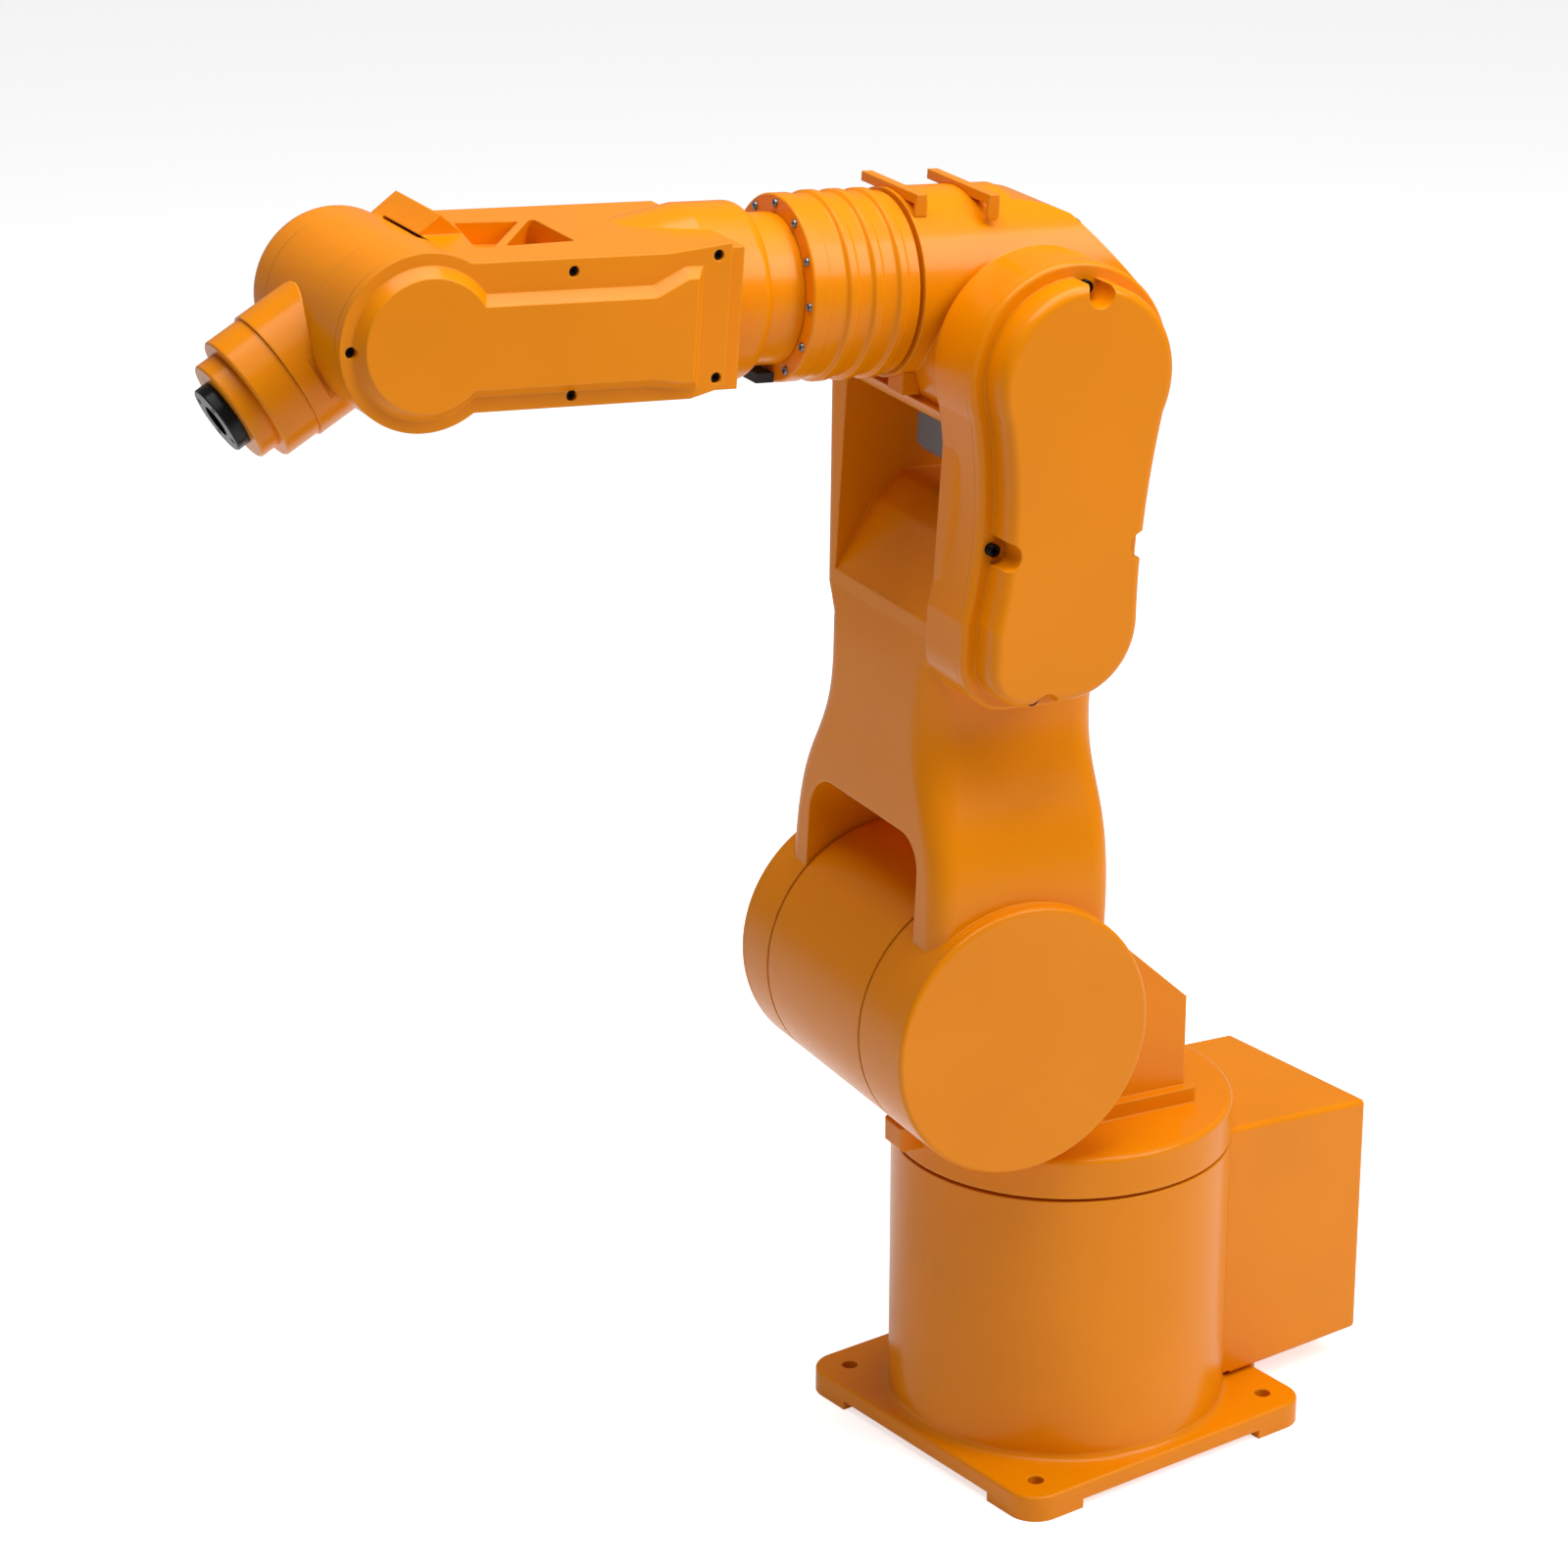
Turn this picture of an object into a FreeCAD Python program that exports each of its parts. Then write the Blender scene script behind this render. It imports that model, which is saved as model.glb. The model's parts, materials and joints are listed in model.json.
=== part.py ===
import FreeCAD, Part
import math
import os

# Six-axis industrial robot arm.
#
# Frame: the origin is on the swing axis at the underside of the base, +X is the
# way the arm points when the swing is at zero, +Y is to its left and +Z is up.
# Every moving piece is drawn in the frame of its own joint and then placed
# through the chain swing, shoulder, elbow, roll and bend, at the rest angles
# below. All sizes are millimetres and all angles are degrees.

# ---- Rest angles of the joints ----
SWING_ANGLE = -9.7        # about +Z, from straight ahead
LEAN_ANGLE = -3.0         # lower arm from upright, forward is positive
PITCH_ANGLE = -0.9        # forearm from square to the lower arm, down is positive
ROLL_ANGLE = 0.0          # forearm about its own axis
BEND_ANGLE = 33.3         # wrist from straight, down is positive

# ---- Axes ----
SHOULDER_REACH = 93.0     # shoulder axis ahead of the swing axis
SHOULDER_HEIGHT = 332.0   # shoulder axis above the floor
LOWER_ARM_LENGTH = 434.0  # shoulder axis to elbow axis
FOREARM_OFFSET = 35.0     # roll axis above the elbow axis
FOREARM_LENGTH = 410.0    # elbow axis to bend axis, along the roll axis

# ---- Clearances ----
RUN_GAP = 0.3             # faces of a joint that run on each other
JOINT_GAP = 2.5           # open gap beside a joint
FIT_GAP = 0.2             # round a cover that is let into a casting
OVERRUN = 1.0             # how far a cut runs past the face it starts from

# ---- Base ----
COLUMN_R = 114.0
PLATE_MARGIN = 8.5        # column to the nearest edge of the plate
PLATE_SIZE = 2 * (COLUMN_R + PLATE_MARGIN)
PLATE_CORNER = 20.0
PLATE_TOP = 18.0
PLATE_EDGE = 2.5
PAD_HEIGHT = 6.5          # relief under the plate between its corner pads
PAD_SIZE = 45.0
RELIEF_DEPTH = 24.0
FOOT_HOLE_INSET = 22.5    # hole centres in from the edges of the plate
FOOT_HOLE_SPACING = PLATE_SIZE - 2 * FOOT_HOLE_INSET
FOOT_HOLE_R = 5.5
COLUMN_FILLET = 5.5
BEARING_R = COLUMN_R - 12

# ---- Drum of the shoulder, and the heights that follow from it ----
DRUM_R = 90.0
DRUM_LEFT = 53.5
DRUM_RIGHT = -71.5
DRUM_CLEARANCE = 5.0      # shoulder rings above the swivel disc
DISC_THICKNESS = 27.7
DISC_TOP = SHOULDER_HEIGHT - DRUM_R - DRUM_CLEARANCE
DISC_BOTTOM = DISC_TOP - DISC_THICKNESS
COLUMN_TOP = DISC_BOTTOM - JOINT_GAP
DISC_EDGE = 4.0

# ---- Connector housing behind the column ----
REAR_BACK = COLUMN_R + 101  # back face behind the swing axis
REAR_HALF_WIDTH = 70.0
REAR_BOTTOM = 20.0
REAR_TOP_FRONT = COLUMN_TOP - RUN_GAP
REAR_TOP_BACK = REAR_TOP_FRONT - 12
REAR_FRONT = COLUMN_R - 22
REAR_EDGE = 4.0
REAR_INSIDE = 20.0        # the housing is drawn this far into the column, then cut to fit it
REAR_FOOT_BACK = COLUMN_R + 17
REAR_FOOT_HALF_WIDTH = 58.0
REAR_FOOT_LENGTH = 47.0
PANEL_WIDTH = 108.0
PANEL_HEIGHT = 132.0
PANEL_THICKNESS = 3.0
PANEL_MID_HEIGHT = 106.0
SOCKET_SPACING = 60.0
POWER_SOCKET_R = 20.0
POWER_SOCKET_REACH = 16.0
SIGNAL_SOCKET_R = 16.0
SIGNAL_SOCKET_REACH = 14.0
SOCKET_FLANGE = 4.0       # thickness, margin and corner of a socket's square flange
SOCKET_EDGE = 1.5

# ---- Swivel ----
SWIVEL_HUB_R = 0.6 * DRUM_R
RISER_BACK = DRUM_R + 65  # behind the shoulder axis
RISER_SHOULDER = 20.5     # corner of the riser below the shoulder axis
RISER_FOOT_HEIGHT = 11.0
RISER_FOOT_EDGE = 7.0
RISER_FOOT_CORNER = 5.0
RISER_FOOT_FRONT = 64.0   # front of the foot, behind the shoulder axis
STOP_DOG_REACH = 14.0
STOP_DOG_ROOT = 5.0
STOP_DOG_WIDTH = 24.0
STOP_DOG_EDGE = 2.0
STOP_DOG_BOTTOM = DISC_TOP - 16

# ---- Elbow drive, and the widths of the fork that follow from it ----
ROLL_R = 58.0
FORK_INSIDE = ROLL_R + 5
FORK_LOW_HALF_WIDTH = FORK_INSIDE + 16
FORK_HALF_WIDTH = FORK_INSIDE + 33

# ---- Lower arm ----
ARM_LEFT = 104.4          # outer faces of the shoulder rings
ARM_RIGHT = -106.0
CAP_THICKNESS = 6.0
CAP_EDGE = 3.0
CHEEK_LEFT = DRUM_LEFT + JOINT_GAP
CHEEK_RIGHT = DRUM_RIGHT - JOINT_GAP
SLOT_LEFT = CHEEK_LEFT + 16  # wall of the slot above the shoulder ring
SLOT_TOP = DRUM_R + 39
SLOT_DEPTH = 130.0        # the slot is cut through, front and back, within this
SLOT_CORNER_LEFT = 22.0
SLOT_CORNER_RIGHT = 30.0
SLOT_RELIEF_FRONT = -10.0  # higher roof behind here lets the arm lean back
SLOT_RELIEF_TOP = SLOT_TOP + 16
ARM_WAIST_HALF_WIDTH = 70.0
ARM_WAIST_CORNER = 16.0
ARM_STEP_HEIGHT = 240.0
ARM_STEP_HALF_DEPTH = 62.0
FORK_LOW_HEIGHT = ARM_STEP_HEIGHT + 18
FORK_HALF_DEPTH = 58.5
FORK_CORNER = 12.0
FORK_R = 66.0
FORK_FLOOR_FRONT = LOWER_ARM_LENGTH - 164
FORK_FLOOR_MID = LOWER_ARM_LENGTH - 121
FORK_FLOOR_TOP = LOWER_ARM_LENGTH - 104
FORK_RAMP_FOOT = 24.0     # steep part of the ramp, back from the front face
FORK_RAMP_HEAD = 42.0     # where the floor turns level, back from the front face
FORK_FLOOR_ROUND = 12.0
FORK_SPACE_MARGIN = 60.0
# Sections of the lower part: height, half depth, half width, corner radius.
ARM_SECTIONS = [
    (0.0, 64.5, 100.0, 12.0),
    (70.0, 64.5, 100.0, 13.0),
    (105.0, 64.5, 98.5, 15.0),
    (140.0, 64.5, 90.0, 18.0),
    (175.0, 63.5, 75.0, 20.0),
    (210.0, 63.0, ARM_WAIST_HALF_WIDTH, 20.0),
    (ARM_STEP_HEIGHT, ARM_STEP_HALF_DEPTH, ARM_WAIST_HALF_WIDTH, ARM_WAIST_CORNER),
]

# ---- Belt cover on the left of the lower arm ----
BELT_TOP_R = 59.5
BELT_SIDE_TILT = -22.0    # where the upper arc ends, from the level
BELT_WAIST = 47.5
BELT_WAIST_DROP = 88.0
BELT_LOBE_MID = 3.5
BELT_LOBE_HALF = 50.5
BELT_LOBE_DROP = 152.0
BELT_BOTTOM_DROP = 201.0
BELT_BACK_CORNER = 47.0
BELT_FRONT_CORNER = 24.0
BELT_FLANGE = 9.0
BELT_FLANGE_EDGE = 3.0
BELT_SEAT = FORK_HALF_WIDTH + 6
BELT_STEP = FORK_HALF_WIDTH + 14
BELT_FACE = FORK_HALF_WIDTH + 36.5
BELT_EDGE = 6.0
BELT_NOTCH_R = 9.0
# Notch centres: ahead of the elbow axis, above it.
BELT_NOTCHES = [(48.5, -105.0), (-45.5, -105.0), (14.5, -203.0), (-4.0, 54.0)]
MOTOR_CAP_R = 50.0
MOTOR_CAP_DEPTH = 12.0
MOTOR_CAP_EDGE = 4.0

# ---- Elbow ----
HUB_R = 64.0
HUB_HALF_WIDTH = FORK_INSIDE - 3
HUB_FLAT = 40.0           # flat underside below the elbow axis
HUB_LIP = 5.0
HUB_LIP_HEIGHT = 8.0
ELBOW_BOSS_R = 42.0
HOOD_R = 88.0
HOOD_FRONT = 51.0
HOOD_FLAT = 81.5          # slanted flat at the back of the hood, from the elbow axis
HOOD_FLAT_TILT = -46.0    # direction of the flat, back from straight up
REAR_COVER_HALF_LENGTH = 27.0
REAR_COVER_HALF_WIDTH = 34.0
REAR_COVER_THICKNESS = 5.0
REAR_COVER_PROUD = 0.8
SEAM_AT = 74.6
SEAM_GAP = 2.4
SEAM_R = ROLL_R - 7
RIB_START = 84.0
RIB_PITCH = 17.0
RIB_WIDTH = 9.0
RIB_DEPTH = 2.2
RIB_COUNT = 3
FLANGE_BACK = 138.0
FLANGE_FRONT = 149.4
FLANGE_R = ROLL_R - 1
FLANGE_EDGE = 1.0
MOTOR_SIZE = 52.0
MOTOR_DROP = 41.0
MOTOR_EDGE = 6.0
BRACKET_FRONT_AT = 65.0
BRACKET_FRONT_LEFT = 34.0
BRACKET_FRONT_RIGHT = -37.0
BRACKET_REAR_AT = 20.0
BRACKET_REAR_LEFT = 43.0
BRACKET_REAR_RIGHT = -35.0
BRACKET_WIDTH = 7.0
BRACKET_HEIGHT = 3.0
BRACKET_SEAT = 3.0        # depth of the bar below the crown of the housing
BRACKET_TAB_LENGTH = 10.0
BRACKET_TAB_WIDTH = 8.0
BRACKET_TAB_THICKNESS = 2.0
BRACKET_TAB_ROUND = 3.5
LUG_BACK = SEAM_AT - 18
LUG_FRONT = SEAM_AT - 4
LUG_RIGHT = 12.0
LUG_LEFT = 30.0
LUG_DROP = 6.0
LUG_HEIGHT = 20.0
ROLL_STOP_LENGTH = 12.0
ROLL_STOP_HALF_WIDTH = 11.0
ROLL_STOP_CLEARANCE = 4.0
ROLL_STOP_HEIGHT = 6.0

# ---- Wrist sizes that the forearm is made to fit ----
WRIST_R = 41.0
BARREL_R = WRIST_R + 9
BARREL_LEFT = 38.5
BARREL_RIGHT = -36.5
BARREL_GAP = 1.5
BARREL_HUB_R = 30.0

# ---- Forearm: distances along the axis are counted back from the bend axis ----
NECK_R = 46.0
NECK_LENGTH = 23.6
BOSS_BACK = FOREARM_LENGTH - FLANGE_FRONT - NECK_LENGTH
BOSS_FRONT = BOSS_BACK - 41
BOSS_R = 54.0
BOSS_EDGE = 8.0
BOSS_OVERLAP = 6.0
FLARE_LENGTH = 46.0
BODY_TOP = 45.0
BODY_BOTTOM = -40.0
BODY_LEFT = 76.5
BODY_RIGHT = -58.0
BODY_EDGE = 9.0
FORK_END_R = BARREL_R + 2
FAR_CAP_R = BARREL_R - 0.5
FAR_CAP_END = -73.0
FAR_CAP_EDGE = 20.0
CROTCH_CLEARANCE = 1.5    # casting round the barrel
CROTCH_FRONT = 40.0       # opening under the barrel, ahead of the bend axis
CROTCH_THROAT = BARREL_R - 3
CROTCH_THROAT_HEIGHT = 12.0
CROTCH_UNDER = BARREL_R + 22
WEDGE_LEFT = 13.0
WEDGE_RIGHT = BODY_RIGHT + 4
WEDGE_FRONT = 22.0
WEDGE_RIDGE = 37.0
WEDGE_BACK = 52.0
WEDGE_TOP = BODY_TOP + 12
WEDGE_ROOT = 4.0
# Pockets in the top of the body, as corners seen from above, each with its depth.
FRONT_POCKET = [(-58.0, -17.0), (-98.0, -13.0), (-55.0, 49.0), (-44.0, 47.0)]
FRONT_POCKET_DEPTH = 14.0
REAR_POCKET = [(-109.0, -20.5), (-109.0, 42.5), (-63.0, 47.0)]
REAR_POCKET_DEPTH = 26.0
POCKET_CORNER = 2.0

# ---- Side covers of the forearm ----
SEAL_THICKNESS = 0.8
SEAL_INSET = 1.2          # the seal stops short of the cover's edge
COVER_SEAT = BODY_LEFT + SEAL_THICKNESS
COVER_FACE = 84.5
COVER_R = FORK_END_R + 0.2
COVER_TOP = 45.0
COVER_BOTTOM = -42.0
COVER_TOP_REAR = 49.5
COVER_BOTTOM_REAR = -36.0
COVER_REAR = BOSS_BACK - 47
COVER_WIDEN = COVER_REAR - 40
COVER_HEEL = 22.0
COVER_SCREW_R = 3.3
THREAD_R = 2.3
THREAD_DEPTH = 10.0
COVER_SCREWS = [
    (45.5, -2.7),
    (-89.8, 37.2),
    (-91.7, -35.5),
    (8.5 - COVER_REAR, 42.5),
    (6.0 - COVER_REAR, -30.5),
]
BULGE_FACE = 92.0
BULGE_ROOT = 0.5
BULGE_R = 39.0
BULGE_TOP = 21.0
BULGE_BOTTOM = -27.0
BULGE_DRAFT = 6.0
BULGE_FLARE_START = COVER_REAR - 50
BULGE_FLARE_END = COVER_REAR - 30
BULGE_REAR = COVER_REAR - 24
BULGE_HEAD_TOP = COVER_TOP - 14
BULGE_HEAD_BOTTOM = COVER_BOTTOM + 12
RIGHT_COVER_THICKNESS = 4.0
RIGHT_COVER_FRONT = 70.0
RIGHT_COVER_REAR = COVER_REAR - 20
RIGHT_COVER_HALF_HEIGHT = 28.0
RIGHT_COVER_CORNER = 12.0

# ---- Wrist and tool flange: distances from the bend axis ----
WRIST_NECK_END = FORK_END_R + 2
WRIST_END = WRIST_NECK_END + 12
OUTER_RING_R = WRIST_R - 1.5
OUTER_RING_END = WRIST_END + 23.3
INNER_RING_R = 31.8
INNER_RING_END = OUTER_RING_END + 12.7
RING_EDGE = 1.0
FLANGE_FACE = INNER_RING_END + 8.5
TOOL_R = 21.0
TOOL_EDGE = 0.8
TOOL_BORE_R = 10.0
TOOL_BORE_DEPTH = 6.0
TOOL_BOLT_CIRCLE = 31.5
TOOL_BOLT_COUNT = 4
TOOL_BOLT_R = 2.1
TOOL_BOLT_DEPTH = 7.0

X = FreeCAD.Vector(1, 0, 0)
Y = FreeCAD.Vector(0, 1, 0)
Z = FreeCAD.Vector(0, 0, 1)
HERE = FreeCAD.Vector(0, 0, 0)


# ---- Small helpers ----

def point(x, y, z):
    return FreeCAD.Vector(x, y, z)


def block(x0, x1, y0, y1, z0, z1):
    """Box between two corners."""
    return Part.makeBox(x1 - x0, y1 - y0, z1 - z0, point(x0, y0, z0))


def rod(radius, start, axis, length):
    """Cylinder from a start point along an axis."""
    return Part.makeCylinder(radius, length, start, axis)


def rod_x(radius, x0, x1, z=0.0, y=0.0):
    return rod(radius, point(x0, y, z), X, x1 - x0)


def rod_y(radius, y0, y1, x=0.0, z=0.0):
    return rod(radius, point(x, y0, z), Y, y1 - y0)


def rod_z(radius, z0, z1, x=0.0, y=0.0):
    return rod(radius, point(x, y, z0), Z, z1 - z0)


def upright(x, z):
    """Point of an outline drawn in the side view."""
    return point(x, 0, z)


def line(a, b):
    return Part.LineSegment(a, b).toShape()


def arc(a, through, b):
    return Part.Arc(a, through, b).toShape()


def curve(points):
    spline = Part.BSplineCurve()
    spline.interpolate(points)
    return spline.toShape()


def plate_y(edges, y0, y1):
    """Closed side-view outline made into a plate between two y values."""
    face = Part.Face(Part.Wire(edges))
    face.translate(point(0, y0, 0))
    return face.extrude(point(0, y1 - y0, 0))


def polygon_y(corners, y0, y1):
    ring = [upright(x, z) for x, z in corners]
    face = Part.Face(Part.makePolygon(ring + ring[:1]))
    face.translate(point(0, y0, 0))
    return face.extrude(point(0, y1 - y0, 0))


def polygon_z(corners, z0, z1):
    ring = [point(x, y, z0) for x, y in corners]
    return Part.Face(Part.makePolygon(ring + ring[:1])).extrude(point(0, 0, z1 - z0))


def rounded(shape, radius, test):
    """Fillet the edges whose bounding box passes the test."""
    return shape.makeFillet(radius, [edge for edge in shape.Edges if test(edge.BoundBox)])


def bevelled(shape, size, test):
    return shape.makeChamfer(size, [edge for edge in shape.Edges if test(edge.BoundBox)])


def near(a, b):
    return abs(a - b) < 0.01


def flat_at_y(y):
    """Test for edges that lie in one plane across y."""
    return lambda box: near(box.YMin, y) and near(box.YMax, y)


def flat_at_z(z):
    return lambda box: near(box.ZMin, z) and near(box.ZMax, z)


def flat_at_x(x):
    return lambda box: near(box.XMin, x) and near(box.XMax, x)


def section(height, half_depth, half_width, corner):
    """Rounded rectangle across an upright casting."""
    x, y, r = half_depth, half_width, corner
    s = r * (1 - math.sqrt(0.5))

    def at(px, py):
        return point(px, py, height)

    edges = [
        line(at(x, r - y), at(x, y - r)),
        arc(at(x, y - r), at(x - s, y - s), at(x - r, y)),
        line(at(x - r, y), at(r - x, y)),
        arc(at(r - x, y), at(s - x, y - s), at(-x, y - r)),
        line(at(-x, y - r), at(-x, r - y)),
        arc(at(-x, r - y), at(s - x, s - y), at(r - x, -y)),
        line(at(r - x, -y), at(x - r, -y)),
        arc(at(x - r, -y), at(x - s, s - y), at(x, r - y)),
    ]
    return Part.Wire(edges)


# ---- Joint frames ----

def turned(axis, angle, offset=HERE):
    return FreeCAD.Placement(offset, FreeCAD.Rotation(axis, angle))


SWING = turned(Z, SWING_ANGLE)
SHOULDER = SWING * turned(Y, LEAN_ANGLE, point(SHOULDER_REACH, 0, SHOULDER_HEIGHT))
ELBOW = SHOULDER * turned(Y, PITCH_ANGLE, point(0, 0, LOWER_ARM_LENGTH))
ROLL = ELBOW * turned(X, ROLL_ANGLE, point(0, 0, FOREARM_OFFSET))
BEND_HOME = ROLL * turned(X, 0, point(FOREARM_LENGTH, 0, 0))
BEND = BEND_HOME * turned(Y, BEND_ANGLE)
FIXED = FreeCAD.Placement()


# ---- Base ----

def foot_holes():
    half = FOOT_HOLE_SPACING / 2
    places = [(-half, -half), (-half, half), (half, -half), (half, half)]
    return [rod_z(FOOT_HOLE_R, -OVERRUN, PLATE_TOP + OVERRUN, x, y) for x, y in places]


def base_plate():
    half = PLATE_SIZE / 2
    plate = block(-half, half, -half, half, 0, PLATE_TOP)
    plate = rounded(plate, PLATE_CORNER, lambda box: near(box.ZLength, PLATE_TOP))
    plate = rounded(plate, PLATE_EDGE, flat_at_z(PLATE_TOP))
    run = half - PAD_SIZE
    inner = half - RELIEF_DEPTH
    for low, high in ((inner, half + OVERRUN), (-half - OVERRUN, -inner)):
        plate = plate.cut(block(low, high, -run, run, -OVERRUN, PAD_HEIGHT))
        plate = plate.cut(block(-run, run, low, high, -OVERRUN, PAD_HEIGHT))
    return plate


def base_casting():
    column = rod_z(COLUMN_R, PLATE_TOP, COLUMN_TOP)
    casting = base_plate().fuse(column).removeSplitter()
    foot = flat_at_z(PLATE_TOP)
    casting = rounded(casting, COLUMN_FILLET, lambda box: foot(box) and near(box.XLength, 2 * COLUMN_R))
    ledge = block(-REAR_FOOT_BACK, REAR_FOOT_LENGTH - REAR_FOOT_BACK, -REAR_FOOT_HALF_WIDTH,
                  REAR_FOOT_HALF_WIDTH, PAD_HEIGHT, REAR_BOTTOM)
    casting = casting.fuse(ledge).removeSplitter()
    for hole in foot_holes():
        casting = casting.cut(hole)
    return casting


def panel_blank(thickness):
    half_width, half_height = PANEL_WIDTH / 2, PANEL_HEIGHT / 2
    return block(-REAR_BACK, thickness - REAR_BACK, -half_width, half_width,
                 PANEL_MID_HEIGHT - half_height, PANEL_MID_HEIGHT + half_height)


def rear_housing():
    inside = REAR_INSIDE - REAR_FRONT
    corners = [
        (-REAR_BACK, REAR_BOTTOM),
        (inside, REAR_BOTTOM),
        (inside, REAR_TOP_FRONT),
        (-REAR_FRONT, REAR_TOP_FRONT),
        (-REAR_BACK, REAR_TOP_BACK),
    ]
    shell = polygon_y(corners, -REAR_HALF_WIDTH, REAR_HALF_WIDTH)
    shell = rounded(shell, REAR_EDGE, lambda box: near(box.XMin, -REAR_BACK))
    shell = shell.cut(rod_z(COLUMN_R, 0, DISC_TOP))
    shell = shell.cut(rod_z(COLUMN_R + COLUMN_FILLET, 0, PLATE_TOP + COLUMN_FILLET))
    return shell.cut(panel_blank(PANEL_THICKNESS))


def rear_panel():
    return panel_blank(PANEL_THICKNESS)


def socket(radius, reach, height):
    """Round connector on the rear panel with its cap screwed on."""
    back = -REAR_BACK
    cap = rod_x(radius, back - reach, back - SOCKET_FLANGE, z=height)
    cap = bevelled(cap, SOCKET_EDGE, flat_at_x(back - reach))
    half = radius + SOCKET_FLANGE
    square = block(back - SOCKET_FLANGE, back, -half, half, height - half, height + half)
    square = rounded(square, SOCKET_FLANGE, lambda box: near(box.XLength, SOCKET_FLANGE))
    return cap.fuse(square).removeSplitter()


# ---- Swivel ----

def riser():
    """Block that carries the drum, sloping down behind it."""
    tangent = DRUM_R * math.sqrt(0.5)
    back = SHOULDER_REACH - RISER_BACK
    corners = [
        (back, DISC_TOP - OVERRUN),
        (SHOULDER_REACH, DISC_TOP - OVERRUN),
        (SHOULDER_REACH, SHOULDER_HEIGHT),
        (SHOULDER_REACH - tangent, SHOULDER_HEIGHT + tangent),
        (back, SHOULDER_HEIGHT - RISER_SHOULDER),
    ]
    return polygon_y(corners, DRUM_RIGHT, DRUM_LEFT)


def riser_foot():
    top = DISC_TOP + RISER_FOOT_HEIGHT
    back = SHOULDER_REACH - RISER_BACK - RISER_FOOT_EDGE
    foot = block(back, SHOULDER_REACH - RISER_FOOT_FRONT, DRUM_RIGHT - RISER_FOOT_EDGE,
                 DRUM_LEFT + RISER_FOOT_EDGE, DISC_TOP - OVERRUN, top)
    foot = rounded(foot, RISER_FOOT_CORNER, lambda box: near(box.ZLength, RISER_FOOT_HEIGHT + OVERRUN))
    return foot.common(rod_z(COLUMN_R - DISC_EDGE - OVERRUN, DISC_TOP - OVERRUN, top))


def swivel_casting():
    disc = rounded(rod_z(COLUMN_R, DISC_BOTTOM, DISC_TOP), DISC_EDGE, flat_at_z(DISC_TOP))
    neck = rod_z(BEARING_R, COLUMN_TOP + RUN_GAP, DISC_BOTTOM)
    drum = rod_y(DRUM_R, DRUM_RIGHT, DRUM_LEFT, SHOULDER_REACH, SHOULDER_HEIGHT)
    hub = rod_y(SWIVEL_HUB_R, CHEEK_RIGHT + RUN_GAP, CHEEK_LEFT - RUN_GAP, SHOULDER_REACH, SHOULDER_HEIGHT)
    casting = disc.fuse([neck, drum, riser(), riser_foot(), hub]).removeSplitter()
    return casting.cut(stop_dog_blank())


def stop_dog_blank():
    half = STOP_DOG_WIDTH / 2
    return block(COLUMN_R - STOP_DOG_ROOT, COLUMN_R + STOP_DOG_REACH, -half, half,
                 STOP_DOG_BOTTOM, DISC_TOP + OVERRUN)


def swing_stop_dog():
    return rounded(stop_dog_blank(), STOP_DOG_EDGE, lambda box: near(box.XMin, COLUMN_R + STOP_DOG_REACH))


# ---- Lower arm ----

def lower_arm_body():
    lower = [section(*sizes) for sizes in ARM_SECTIONS]
    upper = [
        section(ARM_STEP_HEIGHT, ARM_STEP_HALF_DEPTH, ARM_WAIST_HALF_WIDTH, ARM_WAIST_CORNER),
        section(FORK_LOW_HEIGHT, FORK_HALF_DEPTH + 2, FORK_LOW_HALF_WIDTH, FORK_CORNER),
        section(LOWER_ARM_LENGTH, FORK_HALF_DEPTH, FORK_HALF_WIDTH, FORK_CORNER),
    ]
    return Part.makeLoft(lower, True, False).fuse(Part.makeLoft(upper, True, True))


def fork_space():
    """Room between the cheeks of the fork, with its ramped floor."""
    front = FORK_HALF_DEPTH
    ahead = FORK_SPACE_MARGIN + front
    foot = front - FORK_RAMP_FOOT
    head = front - FORK_RAMP_HEAD
    corners = [
        (ahead, FORK_FLOOR_FRONT - FORK_SPACE_MARGIN),
        (front, FORK_FLOOR_FRONT),
        (foot, FORK_FLOOR_MID),
        (head, FORK_FLOOR_TOP),
        (-ahead, FORK_FLOOR_TOP),
        (-ahead, LOWER_ARM_LENGTH + FORK_SPACE_MARGIN + FORK_R),
        (ahead, LOWER_ARM_LENGTH + FORK_SPACE_MARGIN + FORK_R),
    ]
    space = polygon_y(corners, -FORK_INSIDE, FORK_INSIDE)
    return rounded(space, FORK_FLOOR_ROUND, lambda box: near(box.XMin, box.XMax) and (
        near(box.XMin, foot) or near(box.XMin, head)))


def slot_block(front, low, top, left_corner, right_corner):
    slot = block(-SLOT_DEPTH, front, CHEEK_RIGHT, SLOT_LEFT, low, top)
    roof = flat_at_z(top)
    slot = rounded(slot, left_corner, lambda box: roof(box) and near(box.YMin, SLOT_LEFT))
    return rounded(slot, right_corner, lambda box: roof(box) and near(box.YMax, CHEEK_RIGHT))


def shoulder_slot():
    """Room between the shoulder cheeks; the left ring reaches into it."""
    slot = slot_block(SLOT_DEPTH, -SLOT_DEPTH, SLOT_TOP, SLOT_CORNER_LEFT, SLOT_CORNER_RIGHT)
    relief = slot_block(SLOT_RELIEF_FRONT, 0, SLOT_RELIEF_TOP, SLOT_CORNER_LEFT, SLOT_CORNER_LEFT)
    ring = rod_y(DRUM_R, CHEEK_LEFT, SLOT_LEFT + OVERRUN)
    return slot.fuse(relief).removeSplitter().cut(ring)


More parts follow.
